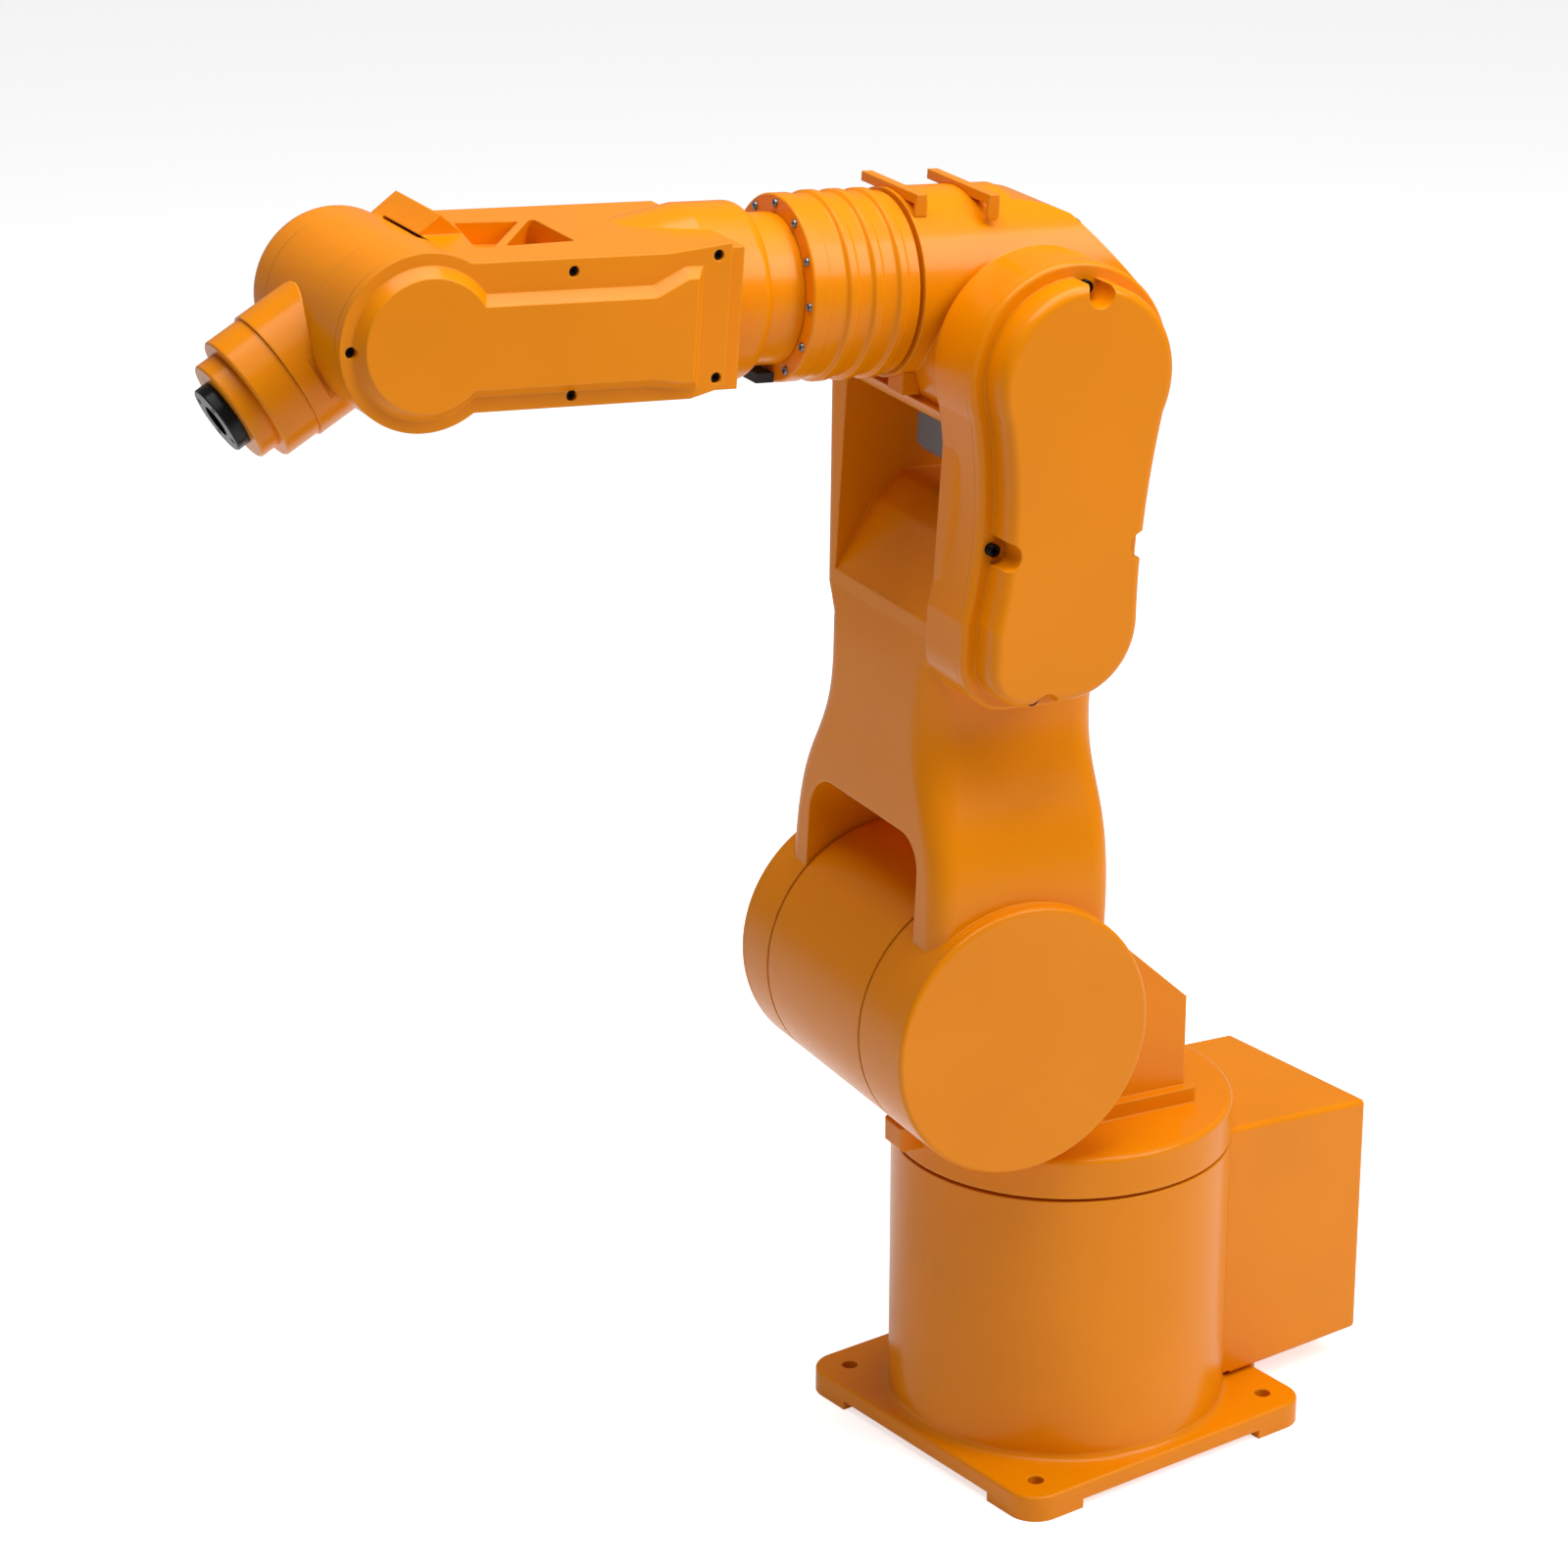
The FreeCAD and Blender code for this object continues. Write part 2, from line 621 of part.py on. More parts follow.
def belt_outline(grow):
    """Outline of the belt cover, grown evenly: two lobes with a waist."""
    top = LOWER_ARM_LENGTH
    radius = BELT_TOP_R + grow
    tilt = math.radians(BELT_SIDE_TILT)
    side_x, side_z = radius * math.cos(tilt), top + radius * math.sin(tilt)
    front = BELT_LOBE_MID + BELT_LOBE_HALF + grow
    back = BELT_LOBE_MID - BELT_LOBE_HALF - grow
    waist = BELT_WAIST + grow
    low = top - BELT_LOBE_DROP
    bottom = top - BELT_BOTTOM_DROP - grow
    front_r, back_r = BELT_FRONT_CORNER + grow, BELT_BACK_CORNER + grow
    bulge = 1 - math.sqrt(0.5)
    front_side = [upright(side_x, side_z), upright(waist, top - BELT_WAIST_DROP), upright(front, low)]
    back_side = [upright(back, low), upright(-waist, top - BELT_WAIST_DROP), upright(-side_x, side_z)]
    back_low = bottom + back_r
    return [
        arc(upright(-side_x, side_z), upright(0, top + radius), upright(side_x, side_z)),
        curve(front_side),
        line(upright(front, low), upright(front, bottom + front_r)),
        arc(upright(front, bottom + front_r), upright(front - bulge * front_r, bottom + bulge * front_r),
            upright(front - front_r, bottom)),
        line(upright(front - front_r, bottom), upright(back + back_r, bottom)),
        arc(upright(back + back_r, bottom), upright(back + bulge * back_r, bottom + bulge * back_r),
            upright(back, back_low)),
        line(upright(back, back_low), upright(back, low)),
        curve(back_side),
    ]


def lower_arm_casting():
    arm = lower_arm_body()
    lobe_left = rod_y(FORK_R, FORK_INSIDE, FORK_HALF_WIDTH, z=LOWER_ARM_LENGTH)
    lobe_right = rod_y(FORK_R, -FORK_HALF_WIDTH, -FORK_INSIDE, z=LOWER_ARM_LENGTH)
    seat = plate_y(belt_outline(BELT_FLANGE), FORK_INSIDE, BELT_SEAT)
    rings = rod_y(DRUM_R, ARM_RIGHT, ARM_LEFT)
    arm = arm.fuse([lobe_left, lobe_right, seat, rings]).removeSplitter()
    return arm.cut(fork_space()).cut(shoulder_slot())


def shoulder_cap_left():
    cap = rod_y(DRUM_R, ARM_LEFT, ARM_LEFT + CAP_THICKNESS)
    return rounded(cap, CAP_EDGE, flat_at_y(ARM_LEFT + CAP_THICKNESS))


def shoulder_cap_right():
    cap = rod_y(DRUM_R, ARM_RIGHT - CAP_THICKNESS, ARM_RIGHT)
    return rounded(cap, CAP_EDGE, flat_at_y(ARM_RIGHT - CAP_THICKNESS))


def belt_notches():
    top = LOWER_ARM_LENGTH
    return [rod_y(BELT_NOTCH_R, BELT_STEP, BELT_FACE + OVERRUN, x, top + z) for x, z in BELT_NOTCHES]


def belt_cover():
    flange = plate_y(belt_outline(BELT_FLANGE), BELT_SEAT, BELT_STEP)
    flange = rounded(flange, BELT_FLANGE_EDGE, flat_at_y(BELT_STEP))
    lid = plate_y(belt_outline(0), BELT_STEP, BELT_FACE)
    lid = rounded(lid, BELT_EDGE, flat_at_y(BELT_FACE))
    cover = flange.fuse(lid)
    for notch in belt_notches():
        cover = cover.cut(notch)
    return cover.removeSplitter()


def elbow_bearing_cover():
    outside = -FORK_HALF_WIDTH - MOTOR_CAP_DEPTH
    cover = rod_y(MOTOR_CAP_R, outside, -FORK_HALF_WIDTH, z=LOWER_ARM_LENGTH)
    return rounded(cover, MOTOR_CAP_EDGE, flat_at_y(outside))


# ---- Elbow ----

def hood():
    """Round-topped shell over the elbow with a slanted flat at its back."""
    housing = rod_x(ROLL_R, -HOOD_R, SEAM_AT, z=FOREARM_OFFSET)
    web = block(-HOOD_R, HOOD_FRONT, -ROLL_R, ROLL_R, 0, FOREARM_OFFSET)
    shell = housing.fuse(web).common(rod_y(HOOD_R, -ROLL_R - OVERRUN, ROLL_R + OVERRUN))
    flat = block(-HOOD_R, HOOD_R, -HOOD_R, HOOD_R, HOOD_FLAT, 2 * HOOD_R)
    flat.Placement = rear_cover_frame()
    return shell.cut(flat)


def elbow_casting():
    front = rod_x(ROLL_R, 0, SEAM_AT, z=FOREARM_OFFSET)
    hub = rod_y(HUB_R, -HUB_HALF_WIDTH, HUB_HALF_WIDTH)
    lip_disc = rod_y(HUB_R + HUB_LIP, -HUB_HALF_WIDTH, HUB_HALF_WIDTH)
    lip = lip_disc.common(
        block(0, HOOD_R, -HUB_HALF_WIDTH, HUB_HALF_WIDTH, -HUB_FLAT, HUB_LIP_HEIGHT - HUB_FLAT))
    bosses = rod_y(ELBOW_BOSS_R, RUN_GAP - FORK_INSIDE, FORK_INSIDE - RUN_GAP)
    under = block(-HOOD_R, HOOD_R, -FORK_INSIDE, FORK_INSIDE, -HOOD_R, -HUB_FLAT)
    spigot = rod_x(SEAM_R, SEAM_AT, SEAM_AT + SEAM_GAP, z=FOREARM_OFFSET)
    casting = hood().fuse([front, hub, lip, bosses, spigot]).cut(under)
    return casting.cut(rear_cover_blank(FIT_GAP)).removeSplitter()


def rear_cover_frame():
    """Frame whose Z is square to the flat at the back of the hood."""
    return turned(Y, HOOD_FLAT_TILT)


def rear_cover_blank(gap):
    length = REAR_COVER_HALF_LENGTH + gap
    width = REAR_COVER_HALF_WIDTH + gap
    blank = block(-length, length, -width, width,
                  HOOD_FLAT - REAR_COVER_THICKNESS, HOOD_FLAT + REAR_COVER_PROUD)
    blank.Placement = rear_cover_frame()
    return blank


def elbow_rear_cover():
    return rear_cover_blank(0)


def elbow_motor():
    half = MOTOR_SIZE / 2
    motor = block(-half, half, -half, HUB_HALF_WIDTH, -HUB_FLAT - MOTOR_DROP, -HUB_FLAT)
    return bevelled(motor, MOTOR_EDGE, lambda box: (
        near(box.YLength, half + HUB_HALF_WIDTH) and box.ZMax < -HUB_FLAT - OVERRUN))


def roll_housing():
    """Ribbed ring in front of the seam."""
    body = rod_x(ROLL_R - RIB_DEPTH, SEAM_AT + SEAM_GAP, FLANGE_BACK, z=FOREARM_OFFSET)
    ribs = []
    for index in range(RIB_COUNT):
        start = RIB_START + index * RIB_PITCH
        rib = rod_x(ROLL_R, start, start + RIB_WIDTH, z=FOREARM_OFFSET)
        ribs.append(bevelled(rib, RIB_DEPTH, lambda box: near(box.XMin, box.XMax)))
    return body.fuse(ribs).removeSplitter()


def roll_flange():
    ring = rod_x(FLANGE_R, FLANGE_BACK, FLANGE_FRONT, z=FOREARM_OFFSET)
    return bevelled(ring, FLANGE_EDGE, flat_at_x(FLANGE_FRONT))


def cable_bracket(at, right, left, casting):
    """Flat bar across the top of the housing with a small tab hanging at its left end."""
    crown = FOREARM_OFFSET + ROLL_R
    bar = block(at, at + BRACKET_WIDTH, right, left, crown - BRACKET_SEAT, crown + BRACKET_HEIGHT)
    middle = at + BRACKET_WIDTH / 2
    low = crown - BRACKET_SEAT - BRACKET_TAB_LENGTH
    tab = block(middle - BRACKET_TAB_WIDTH / 2, middle + BRACKET_TAB_WIDTH / 2,
                left - BRACKET_TAB_THICKNESS, left, low, crown)
    tab = rounded(tab, BRACKET_TAB_ROUND, lambda box: (
        near(box.YLength, BRACKET_TAB_THICKNESS) and near(box.ZMin, low) and near(box.ZMax, low)))
    return bar.fuse(tab).removeSplitter().cut(casting)


def housing_lug(casting):
    low = FOREARM_OFFSET - ROLL_R - LUG_DROP
    return block(LUG_BACK, LUG_FRONT, LUG_RIGHT, LUG_LEFT, low, low + LUG_HEIGHT).cut(casting)


def roll_stop_block():
    top = FOREARM_OFFSET - NECK_R - ROLL_STOP_CLEARANCE
    return block(FLANGE_FRONT, FLANGE_FRONT + ROLL_STOP_LENGTH, -ROLL_STOP_HALF_WIDTH, ROLL_STOP_HALF_WIDTH,
                 top - ROLL_STOP_HEIGHT, top)


# ---- Forearm, drawn from the bend axis backwards ----

def forearm_neck():
    start = FLANGE_FRONT + RUN_GAP - FOREARM_LENGTH
    return rod_x(NECK_R, start, -BOSS_BACK)


def forearm_body():
    body = block(-BOSS_FRONT - BOSS_OVERLAP, 0, BODY_RIGHT, BODY_LEFT, BODY_BOTTOM, BODY_TOP)
    body = rounded(body, BODY_EDGE, lambda box: near(box.YMax, BODY_RIGHT) and near(box.XMax, 0) and
                   not near(box.XMin, 0))
    boss = rod_x(BOSS_R, -BOSS_BACK, -BOSS_FRONT)
    boss = rounded(boss, BOSS_EDGE, flat_at_x(-BOSS_BACK))
    flare = Part.makeCone(BOSS_R, BODY_TOP, FLARE_LENGTH, point(-BOSS_FRONT, 0, 0), X)
    flare = flare.common(block(-BOSS_BACK, 0, BODY_RIGHT, BODY_LEFT, -BOSS_R, BOSS_R))
    return body.fuse([boss, flare])


def fork_ends():
    left = rod_y(FORK_END_R, BARREL_LEFT + BARREL_GAP, BODY_LEFT)
    right = rod_y(FAR_CAP_R, FAR_CAP_END, BARREL_RIGHT - BARREL_GAP)
    right = rounded(right, FAR_CAP_EDGE, flat_at_y(FAR_CAP_END))
    return [left, right]


def wedge():
    """Raised end of the body over the barrel."""
    corners = [
        (-WEDGE_FRONT, BODY_TOP - WEDGE_ROOT),
        (-WEDGE_FRONT, BODY_TOP),
        (-WEDGE_RIDGE, WEDGE_TOP),
        (-WEDGE_BACK, BODY_TOP),
        (-WEDGE_BACK, BODY_TOP - WEDGE_ROOT),
    ]
    return polygon_y(corners, WEDGE_RIGHT, WEDGE_LEFT)


def barrel_room():
    """Space in the fork for the barrel and the housing that turns with it."""
    left = BARREL_LEFT + BARREL_GAP
    right = BARREL_RIGHT - BARREL_GAP
    drum = rod_y(BARREL_R + CROTCH_CLEARANCE, right, left)
    reach = 2 * FORK_END_R
    ahead = block(0, reach, right, left, -reach, reach)
    low = BODY_BOTTOM - OVERRUN
    under = polygon_y([(CROTCH_FRONT, low), (CROTCH_FRONT, 0), (-CROTCH_THROAT, CROTCH_THROAT_HEIGHT),
                       (-CROTCH_UNDER, low)], right, left)
    return drum.fuse([ahead, under])


def pocket(corners, depth):
    hole = polygon_z(corners, BODY_TOP - depth, WEDGE_TOP + OVERRUN)
    return rounded(hole, POCKET_CORNER, lambda box: near(box.XMin, box.XMax) and near(box.YMin, box.YMax))


def forearm_casting():
    casting = forearm_body().fuse(fork_ends() + [wedge()])
    casting = casting.cut(barrel_room())
    casting = casting.cut(pocket(FRONT_POCKET, FRONT_POCKET_DEPTH))
    casting = casting.cut(pocket(REAR_POCKET, REAR_POCKET_DEPTH))
    for x, z in COVER_SCREWS:
        casting = casting.cut(rod_y(THREAD_R, BODY_LEFT - THREAD_DEPTH, BODY_LEFT + OVERRUN, x, z))
    return casting.removeSplitter()


def cover_outline(inset):
    """Side cover: round about the bend axis, then a long bar widening to the rear."""
    radius = COVER_R - inset
    top, bottom = COVER_TOP - inset, COVER_BOTTOM + inset
    rear = inset - COVER_REAR
    top_at = math.sqrt(radius ** 2 - top ** 2)
    low_at = math.sqrt(radius ** 2 - bottom ** 2)
    corners = [
        upright(-top_at, top),
        upright(-COVER_WIDEN, top),
        upright(rear, COVER_TOP_REAR - inset),
        upright(rear, COVER_BOTTOM_REAR + inset),
        upright(COVER_HEEL - COVER_REAR, bottom),
        upright(-low_at, bottom),
    ]
    edges = [line(a, b) for a, b in zip(corners, corners[1:])]
    edges.append(arc(corners[-1], upright(radius, 0), corners[0]))
    return edges


def bulge_outline(grow):
    """Raised part of the side cover: disc, bar and flared rear end."""
    radius = BULGE_R + grow
    top, bottom = BULGE_TOP + grow, BULGE_BOTTOM - grow
    head_top, head_bottom = BULGE_HEAD_TOP + grow, BULGE_HEAD_BOTTOM - grow
    rear = -BULGE_REAR - grow
    top_at = math.sqrt(radius ** 2 - top ** 2)
    low_at = math.sqrt(radius ** 2 - bottom ** 2)
    corners = [
        upright(-top_at, top),
        upright(-BULGE_FLARE_START, top),
        upright(-BULGE_FLARE_END, head_top),
        upright(rear, head_top),
        upright(rear, head_bottom),
        upright(-BULGE_FLARE_END, head_bottom),
        upright(-BULGE_FLARE_START, bottom),
        upright(-low_at, bottom),
    ]
    edges = [line(a, b) for a, b in zip(corners, corners[1:])]
    edges.append(arc(corners[-1], upright(radius, 0), corners[0]))
    return edges


def side_cover_left():
    plate = plate_y(cover_outline(0), COVER_SEAT, COVER_FACE)
    low = Part.Wire(bulge_outline(BULGE_DRAFT))
    low.translate(point(0, COVER_FACE - BULGE_ROOT, 0))
    high = Part.Wire(bulge_outline(0))
    high.translate(point(0, BULGE_FACE, 0))
    cover = plate.fuse(Part.makeLoft([low, high], True, True))
    for x, z in COVER_SCREWS:
        cover = cover.cut(rod_y(COVER_SCREW_R, BODY_LEFT, BULGE_FACE + OVERRUN, x, z))
    return cover.removeSplitter()


def side_cover_seal():
    seal = plate_y(cover_outline(SEAL_INSET), BODY_LEFT, COVER_SEAT)
    for x, z in COVER_SCREWS:
        seal = seal.cut(rod_y(COVER_SCREW_R, BODY_LEFT - OVERRUN, COVER_FACE, x, z))
    return seal


def side_cover_right():
    plate = block(-RIGHT_COVER_REAR, -RIGHT_COVER_FRONT, BODY_RIGHT - RIGHT_COVER_THICKNESS, BODY_RIGHT,
                  -RIGHT_COVER_HALF_HEIGHT, RIGHT_COVER_HALF_HEIGHT)
    return rounded(plate, RIGHT_COVER_CORNER, lambda box: near(box.YLength, RIGHT_COVER_THICKNESS))


# ---- Wrist, drawn along the tool axis ----

def wrist_barrel():
    barrel = rod_y(BARREL_R, BARREL_RIGHT, BARREL_LEFT)
    hub = rod_y(BARREL_HUB_R, BARREL_RIGHT - BARREL_GAP + RUN_GAP, BARREL_LEFT + BARREL_GAP - RUN_GAP)
    return barrel.fuse(hub).removeSplitter()


def wrist_housing(barrel):
    height = WRIST_R + OVERRUN
    near_part = rod_x(WRIST_R, 0, WRIST_NECK_END).common(
        block(0, WRIST_NECK_END, BARREL_RIGHT, BARREL_LEFT, -height, height))
    far_part = rod_x(WRIST_R, WRIST_NECK_END, WRIST_END)
    return near_part.fuse(far_part).removeSplitter().cut(barrel)


def wrist_outer_ring():
    return bevelled(rod_x(OUTER_RING_R, WRIST_END, OUTER_RING_END), RING_EDGE, flat_at_x(OUTER_RING_END))


def wrist_inner_ring():
    return bevelled(rod_x(INNER_RING_R, OUTER_RING_END, INNER_RING_END), RING_EDGE, flat_at_x(INNER_RING_END))


def tool_flange():
    flange = rod_x(TOOL_R, INNER_RING_END + RUN_GAP, FLANGE_FACE)
    flange = bevelled(flange, TOOL_EDGE, flat_at_x(FLANGE_FACE))
    flange = flange.cut(rod_x(TOOL_BORE_R, FLANGE_FACE - TOOL_BORE_DEPTH, FLANGE_FACE + OVERRUN))
    for index in range(TOOL_BOLT_COUNT):
        angle = 2 * math.pi * (index + 0.5) / TOOL_BOLT_COUNT
        y = TOOL_BOLT_CIRCLE / 2 * math.cos(angle)
        z = TOOL_BOLT_CIRCLE / 2 * math.sin(angle)
        flange = flange.cut(rod_x(TOOL_BOLT_R, FLANGE_FACE - TOOL_BOLT_DEPTH, FLANGE_FACE + OVERRUN, z, y))
    return flange


# ---- All pieces, each with the frame that it is placed in ----

def pieces():
    elbow = elbow_casting()
    barrel = wrist_barrel()
    high = PANEL_MID_HEIGHT + SOCKET_SPACING / 2
    low = PANEL_MID_HEIGHT - SOCKET_SPACING / 2
    front_bracket = cable_bracket(BRACKET_FRONT_AT, BRACKET_FRONT_RIGHT, BRACKET_FRONT_LEFT, elbow)
    rear_bracket = cable_bracket(BRACKET_REAR_AT, BRACKET_REAR_RIGHT, BRACKET_REAR_LEFT, elbow)
    return {
        "base_casting": (base_casting(), FIXED),
        "rear_housing": (rear_housing(), FIXED),
        "rear_panel": (rear_panel(), FIXED),
        "power_socket": (socket(POWER_SOCKET_R, POWER_SOCKET_REACH, high), FIXED),
        "signal_socket": (socket(SIGNAL_SOCKET_R, SIGNAL_SOCKET_REACH, low), FIXED),
        "swivel_casting": (swivel_casting(), SWING),
        "swing_stop_dog": (swing_stop_dog(), SWING),
        "lower_arm_casting": (lower_arm_casting(), SHOULDER),
        "shoulder_cap_left": (shoulder_cap_left(), SHOULDER),
        "shoulder_cap_right": (shoulder_cap_right(), SHOULDER),
        "belt_cover": (belt_cover(), SHOULDER),
        "elbow_bearing_cover": (elbow_bearing_cover(), SHOULDER),
        "elbow_casting": (elbow, ELBOW),
        "elbow_rear_cover": (elbow_rear_cover(), ELBOW),
        "elbow_motor": (elbow_motor(), ELBOW),
        "roll_housing": (roll_housing(), ELBOW),
        "roll_flange": (roll_flange(), ELBOW),
        "cable_bracket_front": (front_bracket, ELBOW),
        "cable_bracket_rear": (rear_bracket, ELBOW),
        "housing_lug": (housing_lug(elbow), ELBOW),
        "roll_stop_block": (roll_stop_block(), ELBOW),
        "forearm_neck": (forearm_neck(), BEND_HOME),
        "forearm_casting": (forearm_casting(), BEND_HOME),
        "side_cover_left": (side_cover_left(), BEND_HOME),
        "side_cover_seal": (side_cover_seal(), BEND_HOME),
        "side_cover_right": (side_cover_right(), BEND_HOME),
        "wrist_barrel": (barrel, BEND),
        "wrist_housing": (wrist_housing(barrel), BEND),
        "wrist_outer_ring": (wrist_outer_ring(), BEND),
        "wrist_inner_ring": (wrist_inner_ring(), BEND),
        "tool_flange": (tool_flange(), BEND),
    }


os.makedirs("parts", exist_ok=True)
for name, (shape, frame) in pieces().items():
    shape.transformed(frame.toMatrix()).exportStep("parts/" + name + ".step")
    print(name, len(shape.Solids), shape.isValid(), round(shape.Volume / 1000, 1))
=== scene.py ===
"""Finish, small hardware and studio of a six-axis industrial robot arm.

The file is laid out as an add-on and run as a script. The castings and covers come
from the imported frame. This file gives them their enamel, adds the screws and other
small hardware, and sets up a plain studio with soft light. All sizes are metres.
"""

import json
import math

import bmesh
import bpy
from bpy.props import FloatProperty, FloatVectorProperty, IntProperty, PointerProperty
from mathutils import Matrix, Vector


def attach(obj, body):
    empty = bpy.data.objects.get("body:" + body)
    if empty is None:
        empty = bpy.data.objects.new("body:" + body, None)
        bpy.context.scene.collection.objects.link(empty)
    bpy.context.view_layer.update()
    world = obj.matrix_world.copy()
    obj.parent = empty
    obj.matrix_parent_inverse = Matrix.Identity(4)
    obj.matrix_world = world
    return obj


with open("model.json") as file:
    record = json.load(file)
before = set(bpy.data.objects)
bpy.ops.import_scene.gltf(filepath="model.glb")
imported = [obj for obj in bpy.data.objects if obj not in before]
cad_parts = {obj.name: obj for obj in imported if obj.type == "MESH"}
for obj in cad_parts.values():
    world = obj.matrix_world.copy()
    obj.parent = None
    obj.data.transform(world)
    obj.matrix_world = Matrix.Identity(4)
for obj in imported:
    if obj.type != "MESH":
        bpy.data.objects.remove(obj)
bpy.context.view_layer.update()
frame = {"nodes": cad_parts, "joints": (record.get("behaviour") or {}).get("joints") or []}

bl_info = {
    "name": "Robot Arm Finish",
    "version": (1, 0, 0),
    "blender": (4, 5, 0),
    "location": "3D View > Sidebar > Robot Arm",
    "description": "Enamel, screws and studio of a six-axis robot arm",
    "category": "Object",
}

MM = 0.001
SIDES = 24                 # segments of a small round part, a multiple of six
SHARP_ANGLE = 30           # degrees between two faces from which their edge stays sharp

# ---- Screws: radius and height of the head, and width of the hexagon key ----

ROLL_FLANGE_SCREW = (2.6 * MM, 1.5 * MM, 2.4 * MM)
SIDE_COVER_SCREW = (2.75 * MM, 3.0 * MM, 2.5 * MM)
LOW_COVER_SCREW = (2.75 * MM, 2.2 * MM, 2.5 * MM)
BELT_COVER_SCREW = (4.2 * MM, 5.0 * MM, 4.0 * MM)
BEARING_COVER_SCREW = (3.6 * MM, 3.2 * MM, 3.0 * MM)
CONNECTOR_SCREW = (2.0 * MM, 1.6 * MM, 1.8 * MM)

HEAD_SINK = 0.2 * MM       # a head goes this far below its seat, so that no gap shows
HEAD_EDGE = 0.14           # rounded edge of a head, as a share of its radius
ROUND_IN = 0.35            # middle of that rounded edge, inwards and down, as shares of it
ROUND_DOWN = 0.3
KEY_CHAMFER = 0.25 * MM    # depth of the chamfer round the mouth of the hexagon
MOUTH_FLARE = 1.06         # the mouth is this much wider than the hexagon
MOUTH_ROUND = 0.58         # least radius of the mouth, as a share of the key width
KEY_FLOOR = 0.4            # height of the hexagon's floor, as a share of the head

# ---- Where the screws sit: millimetres in the frame of the casting they hold to ----

SIDE_COVER_HOLES = [(45.5, -2.7), (-89.8, 37.2), (-91.7, -35.5), (-181.5, 42.5), (-184.0, -30.5)]
SIDE_COVER_SEAT = 79.5
BELT_COVER_NOTCHES = [(48.5, 329), (-45.5, 329), (14.5, 231), (-4, 488)]
BELT_COVER_SEAT = 110
BEARING_COVER_SCREWS = 6
BEARING_COVER_CIRCLE = 42  # radius of the circle of screws round the elbow axis
BEARING_COVER_FACE = -108
RIGHT_COVER_CORNERS = [(-160, 18), (-80, 18), (-80, -18), (-160, -18)]
RIGHT_COVER_FACE = -62
HOOD_TILT = -46            # degrees from the forearm to the flat on the back of the hood
HOOD_CORNERS = [(-21.5, -28.5), (-21.5, 28.5), (21.5, 28.5), (21.5, -28.5)]
HOOD_FACE = 82.3
PANEL_BACK = -215
PANEL_SIDES = (-47, 47)
PANEL_LEVELS = (47, 165)
CONNECTORS = ((136, 20, 16), (76, 16, 14))   # height, radius of the cap, reach behind the panel
CONNECTOR_SCREW_INSET = 0.5   # the screws stand this far outside the cap's radius
CONNECTOR_PLATE = 4        # the connector's own plate stands this far behind the panel
KNURL_START = 5            # the knurl's ends: behind the panel, and short of the cap's end
KNURL_STOP = 2
KNURL_RIBS = 48
KNURL_DEPTH = 0.5 * MM
KNURL_CREST = 0.4          # width of a rib's crest, as a share of its foot

# ---- Studio, in metres ----

FLOOR_RADIUS = 30.0
FLOOR_SEGMENTS = 96
FLOOR_GLOW = 0.08          # glow that lights the arm from below
FLOOR_GLOW_SEEN = 0.66     # glow that the camera sees, which keeps the floor pale
LIGHT_AIM = (0.2, 0, 0.45)
KEY_PLACE = (-1.24, 1.98, 2.5)
KEY_SIZE = 1.6
TOP_PLACE = (0.2, 0.2, 2.8)
TOP_SIZE = 2.2


# ---- Colour and node helpers ----

def linear(code):
    """An sRGB hex colour, such as #EB8900, as three linear values."""
    values = [int(code[i:i + 2], 16) / 255 for i in (1, 3, 5)]
    return [v / 12.92 if v <= 0.04045 else ((v + 0.055) / 1.055) ** 2.4 for v in values]


def add(tree, kind, settings=None, links=None):
    """Add a node, set its attributes or sockets by name, and link its inputs from other sockets."""
    node = tree.nodes.new(kind)
    for key, value in (settings or {}).items():
        if isinstance(key, str) and hasattr(node, key):
            setattr(node, key, value)
        else:
            node.inputs[key].default_value = value
    for key, source in (links or {}).items():
        tree.links.new(source, node.inputs[key])
    return node


def new_material(name, shader, links=None):
    """An empty material with one Principled shader. Returns the material, its tree and the shader."""
    material = bpy.data.materials.new(name)
    material.use_nodes = True
    tree = material.node_tree
    tree.nodes.clear()
    surface = add(tree, "ShaderNodeBsdfPrincipled", shader, links)
    add(tree, "ShaderNodeOutputMaterial", links={"Surface": surface.outputs["BSDF"]})
    return material, tree, surface


def object_noise(tree, size, detail=2.0):
    """Noise whose lumps are about that many metres across, fixed to the piece."""
    place = add(tree, "ShaderNodeTexCoord")
    return add(
        tree,
        "ShaderNodeTexNoise",
        {"Scale": 1 / size, "Detail": detail},
        {"Vector": place.outputs["Object"]},
    )


# ---- Materials ----

